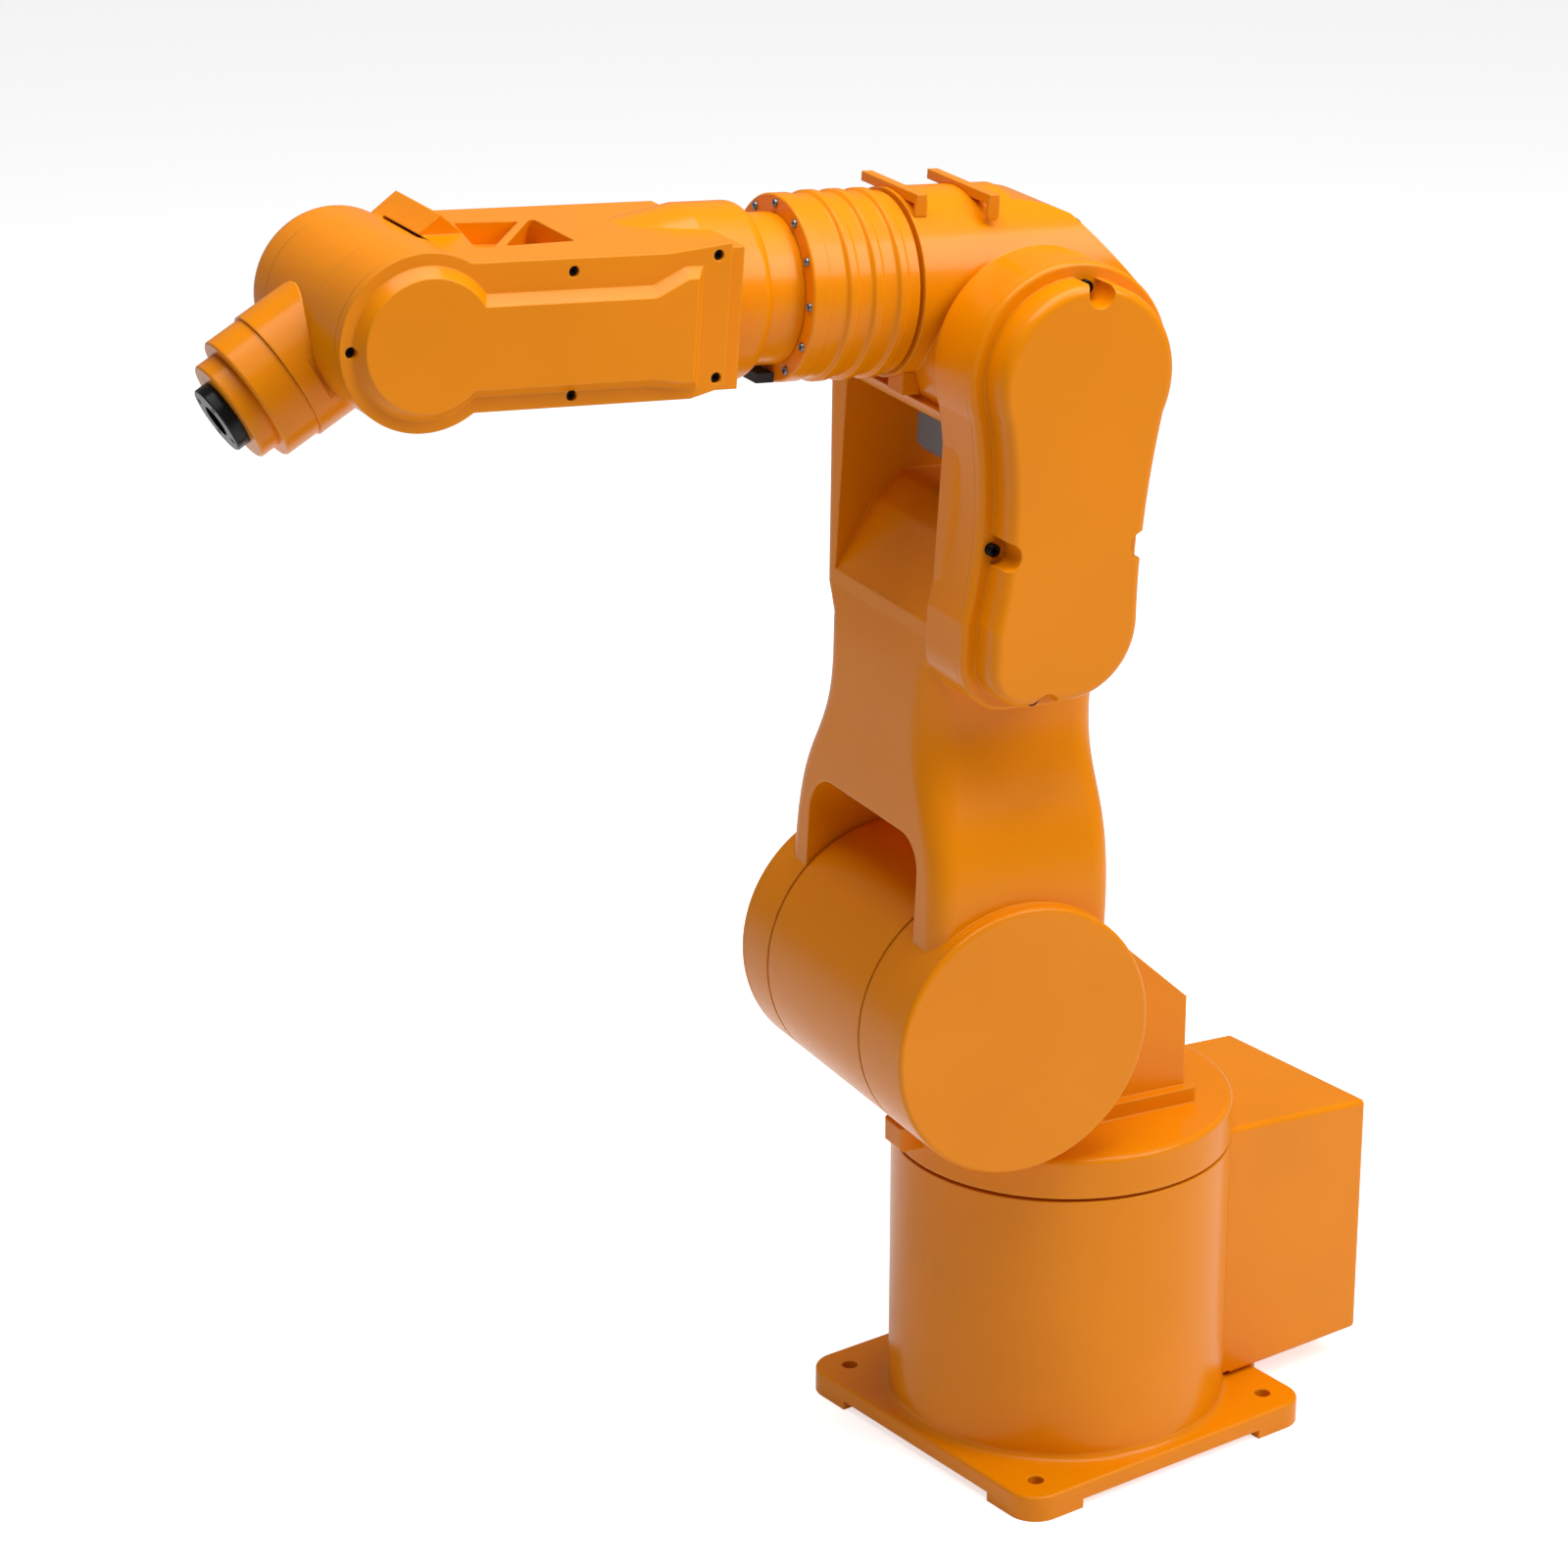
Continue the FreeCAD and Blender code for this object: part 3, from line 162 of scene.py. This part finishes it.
# edge is the colour of the painted highlight along the edges of the enamel.
def enamelled_cast_aluminium(name, colour, edge, roughness, peel_depth):
    """Two-pack enamel sprayed over sand-cast aluminium: a deep glossy orange.

    The eye sees a hard wet gloss and a faint orange peel that ripples the reflections.
    A lighter line along the edges is a painted highlight, mixed into the colour at the edges.
    """
    material, tree, surface = new_material(
        name,
        {
            "Roughness": roughness,
            "IOR": 1.5,
            "Specular IOR Level": 0.2,
            "Coat Weight": 0.06,
            "Coat Roughness": 0.05,
        },
    )
    round_edge = add(tree, "ShaderNodeBevel", {"samples": 6, "Radius": 1.6 * MM})
    flat = add(tree, "ShaderNodeNewGeometry")
    facing = add(
        tree,
        "ShaderNodeVectorMath",
        {"operation": "DOT_PRODUCT"},
        {0: round_edge.outputs["Normal"], 1: flat.outputs["Normal"]},
    )
    # Painted highlight: a lighter colour is mixed in at the edges, where the rounded normal turns away
    # from the flat one.
    edge_highlight_mask = add(
        tree,
        "ShaderNodeMapRange",
        {"From Min": 0.995, "From Max": 0.86, "To Min": 0.0, "To Max": 0.55},
        {"Value": facing.outputs["Value"]},
    )
    cloud = object_noise(tree, 90 * MM)
    deep = [c * 0.94 for c in colour]
    depth = add(
        tree,
        "ShaderNodeValToRGB",
        links={"Fac": cloud.outputs["Fac"]},
    )
    depth.color_ramp.elements[0].position = 0.3
    depth.color_ramp.elements[0].color = [*deep, 1]
    depth.color_ramp.elements[1].position = 0.7
    depth.color_ramp.elements[1].color = [*colour, 1]
    # The enamel colour with the painted edge highlight mixed in.
    enamel_and_edge_highlight = add(
        tree,
        "ShaderNodeMix",
        {"data_type": "RGBA", "B": [*edge, 1]},
        {"Factor": edge_highlight_mask.outputs["Result"], "A": depth.outputs["Color"]},
    )
    peel = object_noise(tree, 3.5 * MM, 1.0)
    wave = object_noise(tree, 40 * MM, 1.0)
    wave_height = 6.0      # the long wave, against the peel
    relief = add(
        tree,
        "ShaderNodeMath",
        {"operation": "MULTIPLY_ADD", 1: wave_height},
        {0: wave.outputs["Fac"], 2: peel.outputs["Fac"]},
    )
    bump = add(
        tree,
        "ShaderNodeBump",
        {"Strength": 0.6, "Distance": peel_depth},
        {"Height": relief.outputs["Value"], "Normal": round_edge.outputs["Normal"]},
    )
    tree.links.new(enamel_and_edge_highlight.outputs["Result"], surface.inputs["Base Color"])
    tree.links.new(bump.outputs["Normal"], surface.inputs["Normal"])
    return material


def powder_coated_steel_sheet(name, colour):
    """Sheet steel with a textured powder coat: fine grain, soft sheen."""
    material, tree, surface = new_material(name, {"Base Color": [*colour, 1], "IOR": 1.5})
    grain = object_noise(tree, 0.9 * MM)
    sheen = add(
        tree,
        "ShaderNodeMapRange",
        {"To Min": 0.38, "To Max": 0.56},
        {"Value": grain.outputs["Fac"]},
    )
    bump = add(
        tree,
        "ShaderNodeBump",
        {"Strength": 0.5, "Distance": 0.05 * MM},
        {"Height": grain.outputs["Fac"]},
    )
    tree.links.new(sheen.outputs["Result"], surface.inputs["Roughness"])
    tree.links.new(bump.outputs["Normal"], surface.inputs["Normal"])
    return material


def black_oxide_steel(name, colour):
    """Alloy steel screws blackened in hot salts: near black with a faint oily blue sheen."""
    material, tree, surface = new_material(name, {"Metallic": 1.0})
    blotch = object_noise(tree, 4 * MM)
    oily = [c * 0.6 for c in colour]
    shade = add(tree, "ShaderNodeValToRGB", links={"Fac": blotch.outputs["Fac"]})
    shade.color_ramp.elements[0].color = [*oily, 1]
    shade.color_ramp.elements[1].color = [*colour, 1]
    sheen = add(
        tree,
        "ShaderNodeMapRange",
        {"To Min": 0.28, "To Max": 0.46},
        {"Value": blotch.outputs["Fac"]},
    )
    tree.links.new(shade.outputs["Color"], surface.inputs["Base Color"])
    tree.links.new(sheen.outputs["Result"], surface.inputs["Roughness"])
    return material


def zinc_plated_steel(name, colour):
    """Steel screws with a blue passivated zinc plate: cool grey, softly bright."""
    material, tree, surface = new_material(name, {"Metallic": 1.0, "Base Color": [*colour, 1]})
    streak = object_noise(tree, 2.5 * MM)
    sheen = add(
        tree,
        "ShaderNodeMapRange",
        {"To Min": 0.22, "To Max": 0.4},
        {"Value": streak.outputs["Fac"]},
    )
    tree.links.new(sheen.outputs["Result"], surface.inputs["Roughness"])
    return material


def turned_anodised_aluminium(name, colour):
    """Turned aluminium, hard anodised black: fine lathe rings under a satin black film."""
    material, tree, surface = new_material(
        name, {"Base Color": [*colour, 1], "Metallic": 0.55, "Roughness": 0.26}
    )
    grain = object_noise(tree, 0.8 * MM)
    bump = add(
        tree,
        "ShaderNodeBump",
        {"Strength": 0.3, "Distance": 0.04 * MM},
        {"Height": grain.outputs["Fac"]},
    )
    tree.links.new(bump.outputs["Normal"], surface.inputs["Normal"])
    return material


def nitrile_rubber(name, colour):
    """Moulded black nitrile rubber: matt, with a dusty bloom."""
    material, tree, surface = new_material(name, {"Roughness": 0.72, "IOR": 1.52})
    bloom = object_noise(tree, 7 * MM, 4.0)
    dusty = [c * 2.2 for c in colour]
    shade = add(tree, "ShaderNodeValToRGB", links={"Fac": bloom.outputs["Fac"]})
    shade.color_ramp.elements[0].color = [*colour, 1]
    shade.color_ramp.elements[1].color = [*dusty, 1]
    tree.links.new(shade.outputs["Color"], surface.inputs["Base Color"])
    return material


def grey_painted_motor_case(name, colour):
    """Extruded motor case in matt grey paint: fine lines along the extrusion."""
    material, tree, surface = new_material(name, {"Base Color": [*colour, 1], "Roughness": 0.45})
    grain = object_noise(tree, 1.5 * MM)
    bump = add(
        tree,
        "ShaderNodeBump",
        {"Strength": 0.35, "Distance": 0.06 * MM},
        {"Height": grain.outputs["Fac"]},
    )
    tree.links.new(bump.outputs["Normal"], surface.inputs["Normal"])
    return material


# ---- Joint frames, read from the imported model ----

JOINTS = {joint["name"]: joint for joint in frame["joints"]}


def joint_point(name):
    return Vector(JOINTS[name]["pos_m"])


def joint_axis(name):
    return Vector(JOINTS[name]["axis"]).normalized()


def axes_at(origin, x_axis, y_axis):
    """A frame from its origin and its x and y directions."""
    z_axis = x_axis.cross(y_axis)
    columns = Matrix((x_axis, y_axis, z_axis)).transposed().to_4x4()
    return Matrix.Translation(origin) @ columns


def lower_arm_frame():
    """On the shoulder axis, z along the arm."""
    left = joint_axis("shoulder")
    up = (joint_point("elbow") - joint_point("shoulder")).normalized()
    return axes_at(joint_point("shoulder"), left.cross(up), left)


def elbow_frame():
    """On the elbow axis, x along the forearm."""
    return axes_at(joint_point("elbow"), joint_axis("roll"), -joint_axis("elbow"))


def roll_flange_frame():
    """On the face of the roll flange, x along the forearm."""
    return axes_at(joint_point("roll"), joint_axis("roll"), -joint_axis("elbow"))


def forearm_frame():
    """On the bend axis, x along the forearm."""
    return axes_at(joint_point("bend"), joint_axis("roll"), joint_axis("bend"))


def spot(axes, x, y, z, towards):
    """A screw seat in a frame: a place, and the direction that the head faces."""
    return axes @ Matrix.Translation((x, y, z)) @ towards


def side_places(axes, points, face, towards):
    """Screw seats on a side face: points are (x, z) and face is y, in millimetres."""
    return [spot(axes, x * MM, face * MM, z * MM, towards) for x, z in points]


TO_UP = Matrix.Identity(4)
TO_X = Matrix.Rotation(math.pi / 2, 4, "Y")
TO_LEFT = Matrix.Rotation(-math.pi / 2, 4, "X")
TO_RIGHT = Matrix.Rotation(math.pi / 2, 4, "X")
TO_BACK = Matrix.Rotation(-math.pi / 2, 4, "Y")


# ---- Mesh helpers ----

def ring(mesh, place, radius, height):
    """A ring of vertices. radius is a number or a function of the angle."""
    made = []
    for index in range(SIDES):
        angle = 2 * math.pi * index / SIDES
        reach = radius(angle) if callable(radius) else radius
        point = Vector((reach * math.cos(angle), reach * math.sin(angle), height))
        made.append(mesh.verts.new(place @ point))
    return made


def bridge(mesh, low, high):
    for index in range(SIDES):
        after = (index + 1) % SIDES
        mesh.faces.new((low[index], low[after], high[after], high[index]))


def hexagon(across):
    """Radius of a hexagon, by its width across the flats, as a function of the angle."""
    return lambda angle: across / 2 / math.cos((angle % (math.pi / 3)) - math.pi / 6)


def key_mouth(key):
    """Radius of the chamfered mouth of a hexagon, as a function of the angle."""
    return lambda angle: max(hexagon(key)(angle), key * MOUTH_ROUND) * MOUTH_FLARE


def cap_screw(mesh, place, head_radius, head_height, key):
    """Socket head cap screw, seated at the place and facing its z axis."""
    edge = head_radius * HEAD_EDGE
    rings = [
        ring(mesh, place, head_radius, -HEAD_SINK),
        ring(mesh, place, head_radius, head_height - edge),
        ring(mesh, place, head_radius - edge * ROUND_IN, head_height - edge * ROUND_DOWN),
        ring(mesh, place, head_radius - edge, head_height),
        ring(mesh, place, key_mouth(key), head_height),
        ring(mesh, place, hexagon(key), head_height - KEY_CHAMFER),
        ring(mesh, place, hexagon(key), head_height * KEY_FLOOR),
    ]
    mesh.faces.new(list(reversed(rings[0])))
    for low, high in zip(rings, rings[1:]):
        bridge(mesh, low, high)
    mesh.faces.new(rings[-1])


def knurl(mesh, place, radius, low, high):
    """Fine upright ribs round a cap. Each rib's foot takes half of its share of the circle."""
    half = math.pi / KNURL_RIBS * 0.5
    for index in range(KNURL_RIBS):
        middle = 2 * math.pi * index / KNURL_RIBS
        corners = [
            (radius - KNURL_DEPTH, middle - half),
            (radius + KNURL_DEPTH, middle - half * KNURL_CREST),
            (radius + KNURL_DEPTH, middle + half * KNURL_CREST),
            (radius - KNURL_DEPTH, middle + half),
        ]
        levels = [
            [mesh.verts.new(place @ Vector((r * math.cos(a), r * math.sin(a), z))) for r, a in corners]
            for z in (low, high)
        ]
        mesh.faces.new(list(reversed(levels[0])))
        mesh.faces.new(levels[1])
        for side in range(4):
            after = (side + 1) % 4
            mesh.faces.new((levels[0][side], levels[0][after], levels[1][after], levels[1][side]))


def finished_piece(name, mesh, body, material):
    """Turn mesh data into an object that rides on a body."""
    bmesh.ops.recalc_face_normals(mesh, faces=mesh.faces)
    data = bpy.data.meshes.new(name)
    mesh.to_mesh(data)
    mesh.free()
    data.shade_smooth()
    data.set_sharp_from_angle(angle=math.radians(SHARP_ANGLE))
    data.materials.append(material)
    piece = bpy.data.objects.new(name, data)
    bpy.context.scene.collection.objects.link(piece)
    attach(piece, body)
    return piece


def screws(name, places, size, body, material):
    """Like screws on one body as one joined piece. size is one of the screws listed at the top."""
    mesh = bmesh.new()
    for place in places:
        cap_screw(mesh, place, *size)
    return finished_piece(name, mesh, body, material)


# ---- Settings ----

class RobotColours(bpy.types.PropertyGroup):
    enamel: FloatVectorProperty(
        name="Enamel",
        description="Orange enamel of the castings and covers",
        subtype="COLOR",
        default=linear("#EB8900"),
    )
    # Painted highlight: the lighter colour mixed onto the edges of the enamel.
    painted_edge_highlight: FloatVectorProperty(
        name="Enamel Edge",
        description="Where the enamel draws thin over an edge",
        subtype="COLOR",
        default=linear("#FFAC2E"),
    )
    blackened: FloatVectorProperty(
        name="Blackened Steel",
        description="Black-oxide screws",
        subtype="COLOR",
        default=linear("#26282B"),
    )
    zinc: FloatVectorProperty(
        name="Zinc Plate",
        description="Zinc-plated screws of the roll flange",
        subtype="COLOR",
        default=linear("#7F93A6"),
    )
    flange: FloatVectorProperty(
        name="Tool Flange",
        description="Hard-anodised tool flange",
        subtype="COLOR",
        default=linear("#17191C"),
    )
    motor: FloatVectorProperty(
        name="Motor Case",
        description="Painted case of the elbow motor",
        subtype="COLOR",
        default=linear("#6F7478"),
    )
    panel: FloatVectorProperty(
        name="Rear Panel",
        description="Powder-coated connector panel",
        subtype="COLOR",
        default=linear("#2B2D30"),
    )
    rubber: FloatVectorProperty(
        name="Rubber",
        description="Stop block and seals",
        subtype="COLOR",
        default=linear("#1E1F21"),
    )
    floor: FloatVectorProperty(
        name="Floor",
        description="Plain studio floor",
        subtype="COLOR",
        default=linear("#F4F4F4"),
    )


class RobotHardware(bpy.types.PropertyGroup):
    roughness: FloatProperty(
        name="Enamel Roughness",
        description="Roughness of the enamel, lower is glossier",
        subtype="FACTOR",
        default=0.24,
        min=0.02,
        max=1.0,
    )
    peel: FloatProperty(
        name="Orange Peel",
        description="Depth of the ripple in the enamel",
        unit="LENGTH",
        default=0.03 * MM,
        precision=5,
    )
    flange_screws: IntProperty(
        name="Flange Screws",
        description="Screws round the roll flange",
        default=12,
    )
    flange_circle: FloatProperty(
        name="Flange Screw Circle",
        description="Radius of the screws round the roll flange",
        unit="LENGTH",
        default=51.8 * MM,
    )


class RobotStage(bpy.types.PropertyGroup):
    lens: FloatProperty(
        name="Lens",
        description="Focal length in millimetres on a 36 mm sensor",
        default=105.28,
    )
    eye: FloatVectorProperty(
        name="Camera Place",
        description="Camera position",
        subtype="TRANSLATION",
        default=(1.8167, 2.1274, 1.5093),
    )
    aim: FloatVectorProperty(
        name="Camera Direction",
        description="Direction in which the camera looks",
        subtype="DIRECTION",
        default=(-0.55893, -0.74992, -0.35387),
    )
    key: FloatProperty(
        name="Key Light",
        description="Power of the large softbox on the right",
        unit="POWER",
        default=47.0,
    )
    top: FloatProperty(
        name="Top Light",
        description="Power of the softbox overhead",
        unit="POWER",
        default=66.0,
    )
    room: FloatProperty(
        name="Room Light",
        description="Strength of the even light from all round",
        default=0.2,
    )


def colours():
    return bpy.context.scene.robot_colours


def hardware():
    return bpy.context.scene.robot_hardware


def material_named(name, maker, *values):
    """The material of that name, made once."""
    return bpy.data.materials.get(name) or maker(name, *values)


def enamel():
    return material_named(
        "Enamelled cast aluminium",
        enamelled_cast_aluminium,
        colours().enamel,
        colours().painted_edge_highlight,
        hardware().roughness,
        hardware().peel,
    )


def blackened_steel():
    return material_named("Black-oxide steel", black_oxide_steel, colours().blackened)


def anodised():
    return material_named("Black anodised aluminium", turned_anodised_aluminium, colours().flange)


def zinc_plate():
    return material_named("Zinc-plated steel", zinc_plated_steel, colours().zinc)


def rubber():
    return material_named("Nitrile rubber", nitrile_rubber, colours().rubber)


def panel_sheet():
    return material_named("Powder-coated steel sheet", powder_coated_steel_sheet, colours().panel)


def paint_nodes(names, material):
    for name in names:
        slots = frame["nodes"][name].data.materials
        slots.clear()
        slots.append(material)


# ---- Operators ----

class ROBOT_OT_castings(bpy.types.Operator):
    """Give every casting and cover its enamel"""

    bl_idname = "robot_arm.castings"
    bl_label = "Enamel Castings and Covers"

    def execute(self, context):
        paint_nodes(frame["nodes"], enamel())
        return {"FINISHED"}


class ROBOT_OT_bare_parts(bpy.types.Operator):
    """Give the flange, motor, panel, connectors and stop block their own finishes"""

    bl_idname = "robot_arm.bare_parts"
    bl_label = "Finish Bare Parts"

    def execute(self, context):
        motor = material_named("Grey painted motor case", grey_painted_motor_case, colours().motor)
        paint_nodes(["tool_flange", "power_socket", "signal_socket"], anodised())
        paint_nodes(["elbow_motor"], motor)
        paint_nodes(["rear_panel"], panel_sheet())
        paint_nodes(["roll_stop_block", "side_cover_seal"], rubber())
        return {"FINISHED"}


class ROBOT_OT_flange_screws(bpy.types.Operator):
    """Zinc-plated screws round the roll flange"""

    bl_idname = "robot_arm.flange_screws"
    bl_label = "Roll Flange Screws"

    def execute(self, context):
        count = hardware().flange_screws
        circle = hardware().flange_circle
        axes = roll_flange_frame()
        places = []
        for index in range(count):
            angle = 2 * math.pi * index / count
            places.append(spot(axes, 0, circle * math.cos(angle), circle * math.sin(angle), TO_X))
        screws("roll_flange_screws", places, ROLL_FLANGE_SCREW, "elbow", zinc_plate())
        return {"FINISHED"}


class ROBOT_OT_side_cover_screws(bpy.types.Operator):
    """Blackened screws in the holes of the side cover"""

    bl_idname = "robot_arm.side_cover_screws"
    bl_label = "Side Cover Screws"

    def execute(self, context):
        places = side_places(forearm_frame(), SIDE_COVER_HOLES, SIDE_COVER_SEAT, TO_LEFT)
        screws(
            "side_cover_screws", places, SIDE_COVER_SCREW, "forearm", blackened_steel()
        )
        return {"FINISHED"}


class ROBOT_OT_belt_cover_screws(bpy.types.Operator):
    """Blackened screws down in the notches of the belt cover"""

    bl_idname = "robot_arm.belt_cover_screws"
    bl_label = "Belt Cover Screws"

    def execute(self, context):
        places = side_places(lower_arm_frame(), BELT_COVER_NOTCHES, BELT_COVER_SEAT, TO_LEFT)
        screws(
            "belt_cover_screws", places, BELT_COVER_SCREW, "lower_arm", blackened_steel()
        )
        return {"FINISHED"}


class ROBOT_OT_far_side_screws(bpy.types.Operator):
    """Blackened screws of the bearing cover and the cover on the right of the forearm"""

    bl_idname = "robot_arm.far_side_screws"
    bl_label = "Far Side Screws"

    def execute(self, context):
        elbow_height = (joint_point("elbow") - joint_point("shoulder")).length / MM
        circle = []
        for index in range(BEARING_COVER_SCREWS):
            angle = 2 * math.pi * index / BEARING_COVER_SCREWS
            x = BEARING_COVER_CIRCLE * math.cos(angle)
            z = BEARING_COVER_CIRCLE * math.sin(angle)
            circle.append((x, elbow_height + z))
        places = side_places(lower_arm_frame(), circle, BEARING_COVER_FACE, TO_RIGHT)
        screws(
            "bearing_cover_screws", places, BEARING_COVER_SCREW, "lower_arm", blackened_steel()
        )
        places = side_places(forearm_frame(), RIGHT_COVER_CORNERS, RIGHT_COVER_FACE, TO_RIGHT)
        screws(
            "right_cover_screws", places, LOW_COVER_SCREW, "forearm", blackened_steel()
        )
        return {"FINISHED"}


class ROBOT_OT_elbow_cover_screws(bpy.types.Operator):
    """Blackened screws of the cover let into the back of the hood"""

    bl_idname = "robot_arm.elbow_cover_screws"
    bl_label = "Elbow Cover Screws"

    def execute(self, context):
        flat = elbow_frame() @ Matrix.Rotation(math.radians(HOOD_TILT), 4, "Y")
        places = [spot(flat, x * MM, y * MM, HOOD_FACE * MM, TO_UP) for x, y in HOOD_CORNERS]
        screws(
            "elbow_cover_screws", places, LOW_COVER_SCREW, "elbow", blackened_steel()
        )
        return {"FINISHED"}


class ROBOT_OT_rear_panel_trim(bpy.types.Operator):
    """Screws of the connector panel and the knurls of the connector caps"""

    bl_idname = "robot_arm.rear_panel_trim"
    bl_label = "Rear Panel Trim"

    def execute(self, context):
        corners = [(y, z) for y in PANEL_SIDES for z in PANEL_LEVELS]
        places = self.places(PANEL_BACK, corners)
        screws("rear_panel_screws", places, LOW_COVER_SCREW, "base", zinc_plate())
        corners = []
        knurls = bmesh.new()
        for height, radius, reach in CONNECTORS:
            out = radius + CONNECTOR_SCREW_INSET
            corners += [(y, height + z) for y in (-out, out) for z in (-out, out)]
            cap = self.places(PANEL_BACK, [(0, height)])[0]
            knurl(knurls, cap, radius * MM, KNURL_START * MM, (reach - KNURL_STOP) * MM)
        places = self.places(PANEL_BACK - CONNECTOR_PLATE, corners)
        screws("connector_screws", places, CONNECTOR_SCREW, "base", zinc_plate())
        finished_piece("connector_knurls", knurls, "base", anodised())
        return {"FINISHED"}

    def places(self, x, points):
        """Seats that face backwards, at (y, z) in millimetres."""
        return [spot(Matrix.Identity(4), x * MM, y * MM, z * MM, TO_BACK) for y, z in points]


class ROBOT_OT_stage(bpy.types.Operator):
    """Plain pale floor, soft studio light and the camera"""

    bl_idname = "robot_arm.stage"
    bl_label = "Studio"

    def execute(self, context):
        self.floor()
        self.lights(context.scene.robot_stage)
        self.camera(context.scene.robot_stage)
        context.scene.view_settings.view_transform = "Standard"
        return {"FINISHED"}

    def floor(self):
        mesh = bmesh.new()
        bmesh.ops.create_circle(mesh, cap_ends=True, segments=FLOOR_SEGMENTS, radius=FLOOR_RADIUS)
        data = bpy.data.meshes.new("studio_floor")
        mesh.to_mesh(data)
        mesh.free()
        material, tree, surface = new_material(
            "Matt painted floor",
            {"Base Color": [*colours().floor, 1], "Roughness": 0.9, "Specular IOR Level": 0.1},
        )
        seen = add(tree, "ShaderNodeLightPath")
        glow = add(
            tree,
            "ShaderNodeMapRange",
            {"To Min": FLOOR_GLOW, "To Max": FLOOR_GLOW_SEEN},
            {"Value": seen.outputs["Is Camera Ray"]},
        )
        surface.inputs["Emission Color"].default_value = [1, 1, 1, 1]
        tree.links.new(glow.outputs["Result"], surface.inputs["Emission Strength"])
        data.materials.append(material)
        floor = bpy.data.objects.new("studio_floor", data)
        bpy.context.scene.collection.objects.link(floor)

    def lights(self, stage):
        world = bpy.data.worlds.new("Studio room")
        bpy.context.scene.world = world
        world.use_nodes = True
        back = world.node_tree.nodes["Background"]
        back.inputs["Color"].default_value = [1, 1, 1, 1]
        back.inputs["Strength"].default_value = stage.room
        self.softbox("Key softbox", KEY_PLACE, KEY_SIZE, stage.key)
        self.softbox("Top softbox", TOP_PLACE, TOP_SIZE, stage.top)

    def softbox(self, name, place, size, power):
        light = bpy.data.lights.new(name, "AREA")
        light.shape = "SQUARE"
        light.size = size
        light.energy = power
        holder = bpy.data.objects.new(name, light)
        holder.location = place
        towards = Vector(LIGHT_AIM) - Vector(place)
        holder.rotation_euler = towards.to_track_quat("-Z", "Y").to_euler()
        bpy.context.scene.collection.objects.link(holder)

    def camera(self, stage):
        data = bpy.data.cameras.new("Camera")
        data.lens = stage.lens
        data.sensor_width = 36.0
        camera = bpy.data.objects.new("Camera", data)
        camera.location = stage.eye
        camera.rotation_euler = Vector(stage.aim).to_track_quat("-Z", "Y").to_euler()
        bpy.context.scene.collection.objects.link(camera)
        bpy.context.scene.camera = camera


OPERATORS = (
    ROBOT_OT_castings,
    ROBOT_OT_bare_parts,
    ROBOT_OT_flange_screws,
    ROBOT_OT_side_cover_screws,
    ROBOT_OT_belt_cover_screws,
    ROBOT_OT_far_side_screws,
    ROBOT_OT_elbow_cover_screws,
    ROBOT_OT_rear_panel_trim,
    ROBOT_OT_stage,
)


class ROBOT_PT_panel(bpy.types.Panel):
    """Sidebar panel with the settings and the steps"""

    bl_label = "Robot Arm"
    bl_idname = "ROBOT_PT_panel"
    bl_space_type = "VIEW_3D"
    bl_region_type = "UI"
    bl_category = "Robot Arm"

    def draw(self, context):
        column = self.layout.column()
        for settings in (
            context.scene.robot_colours,
            context.scene.robot_hardware,
            context.scene.robot_stage,
        ):
            for name in settings.__annotations__:
                column.prop(settings, name)
        for operator in OPERATORS:
            column.operator(operator.bl_idname)


SETTINGS = (RobotColours, RobotHardware, RobotStage)


def register():
    for item in (*SETTINGS, *OPERATORS, ROBOT_PT_panel):
        bpy.utils.register_class(item)
    bpy.types.Scene.robot_colours = PointerProperty(type=RobotColours)
    bpy.types.Scene.robot_hardware = PointerProperty(type=RobotHardware)
    bpy.types.Scene.robot_stage = PointerProperty(type=RobotStage)


def unregister():
    del bpy.types.Scene.robot_stage
    del bpy.types.Scene.robot_hardware
    del bpy.types.Scene.robot_colours
    for item in reversed((*SETTINGS, *OPERATORS, ROBOT_PT_panel)):
        bpy.utils.unregister_class(item)


def main():
    register()
    bpy.ops.robot_arm.castings()
    bpy.ops.robot_arm.bare_parts()
    bpy.ops.robot_arm.flange_screws()
    bpy.ops.robot_arm.side_cover_screws()
    bpy.ops.robot_arm.belt_cover_screws()
    bpy.ops.robot_arm.far_side_screws()
    bpy.ops.robot_arm.elbow_cover_screws()
    bpy.ops.robot_arm.rear_panel_trim()
    bpy.ops.robot_arm.stage()


if __name__ == "__main__":
    main()
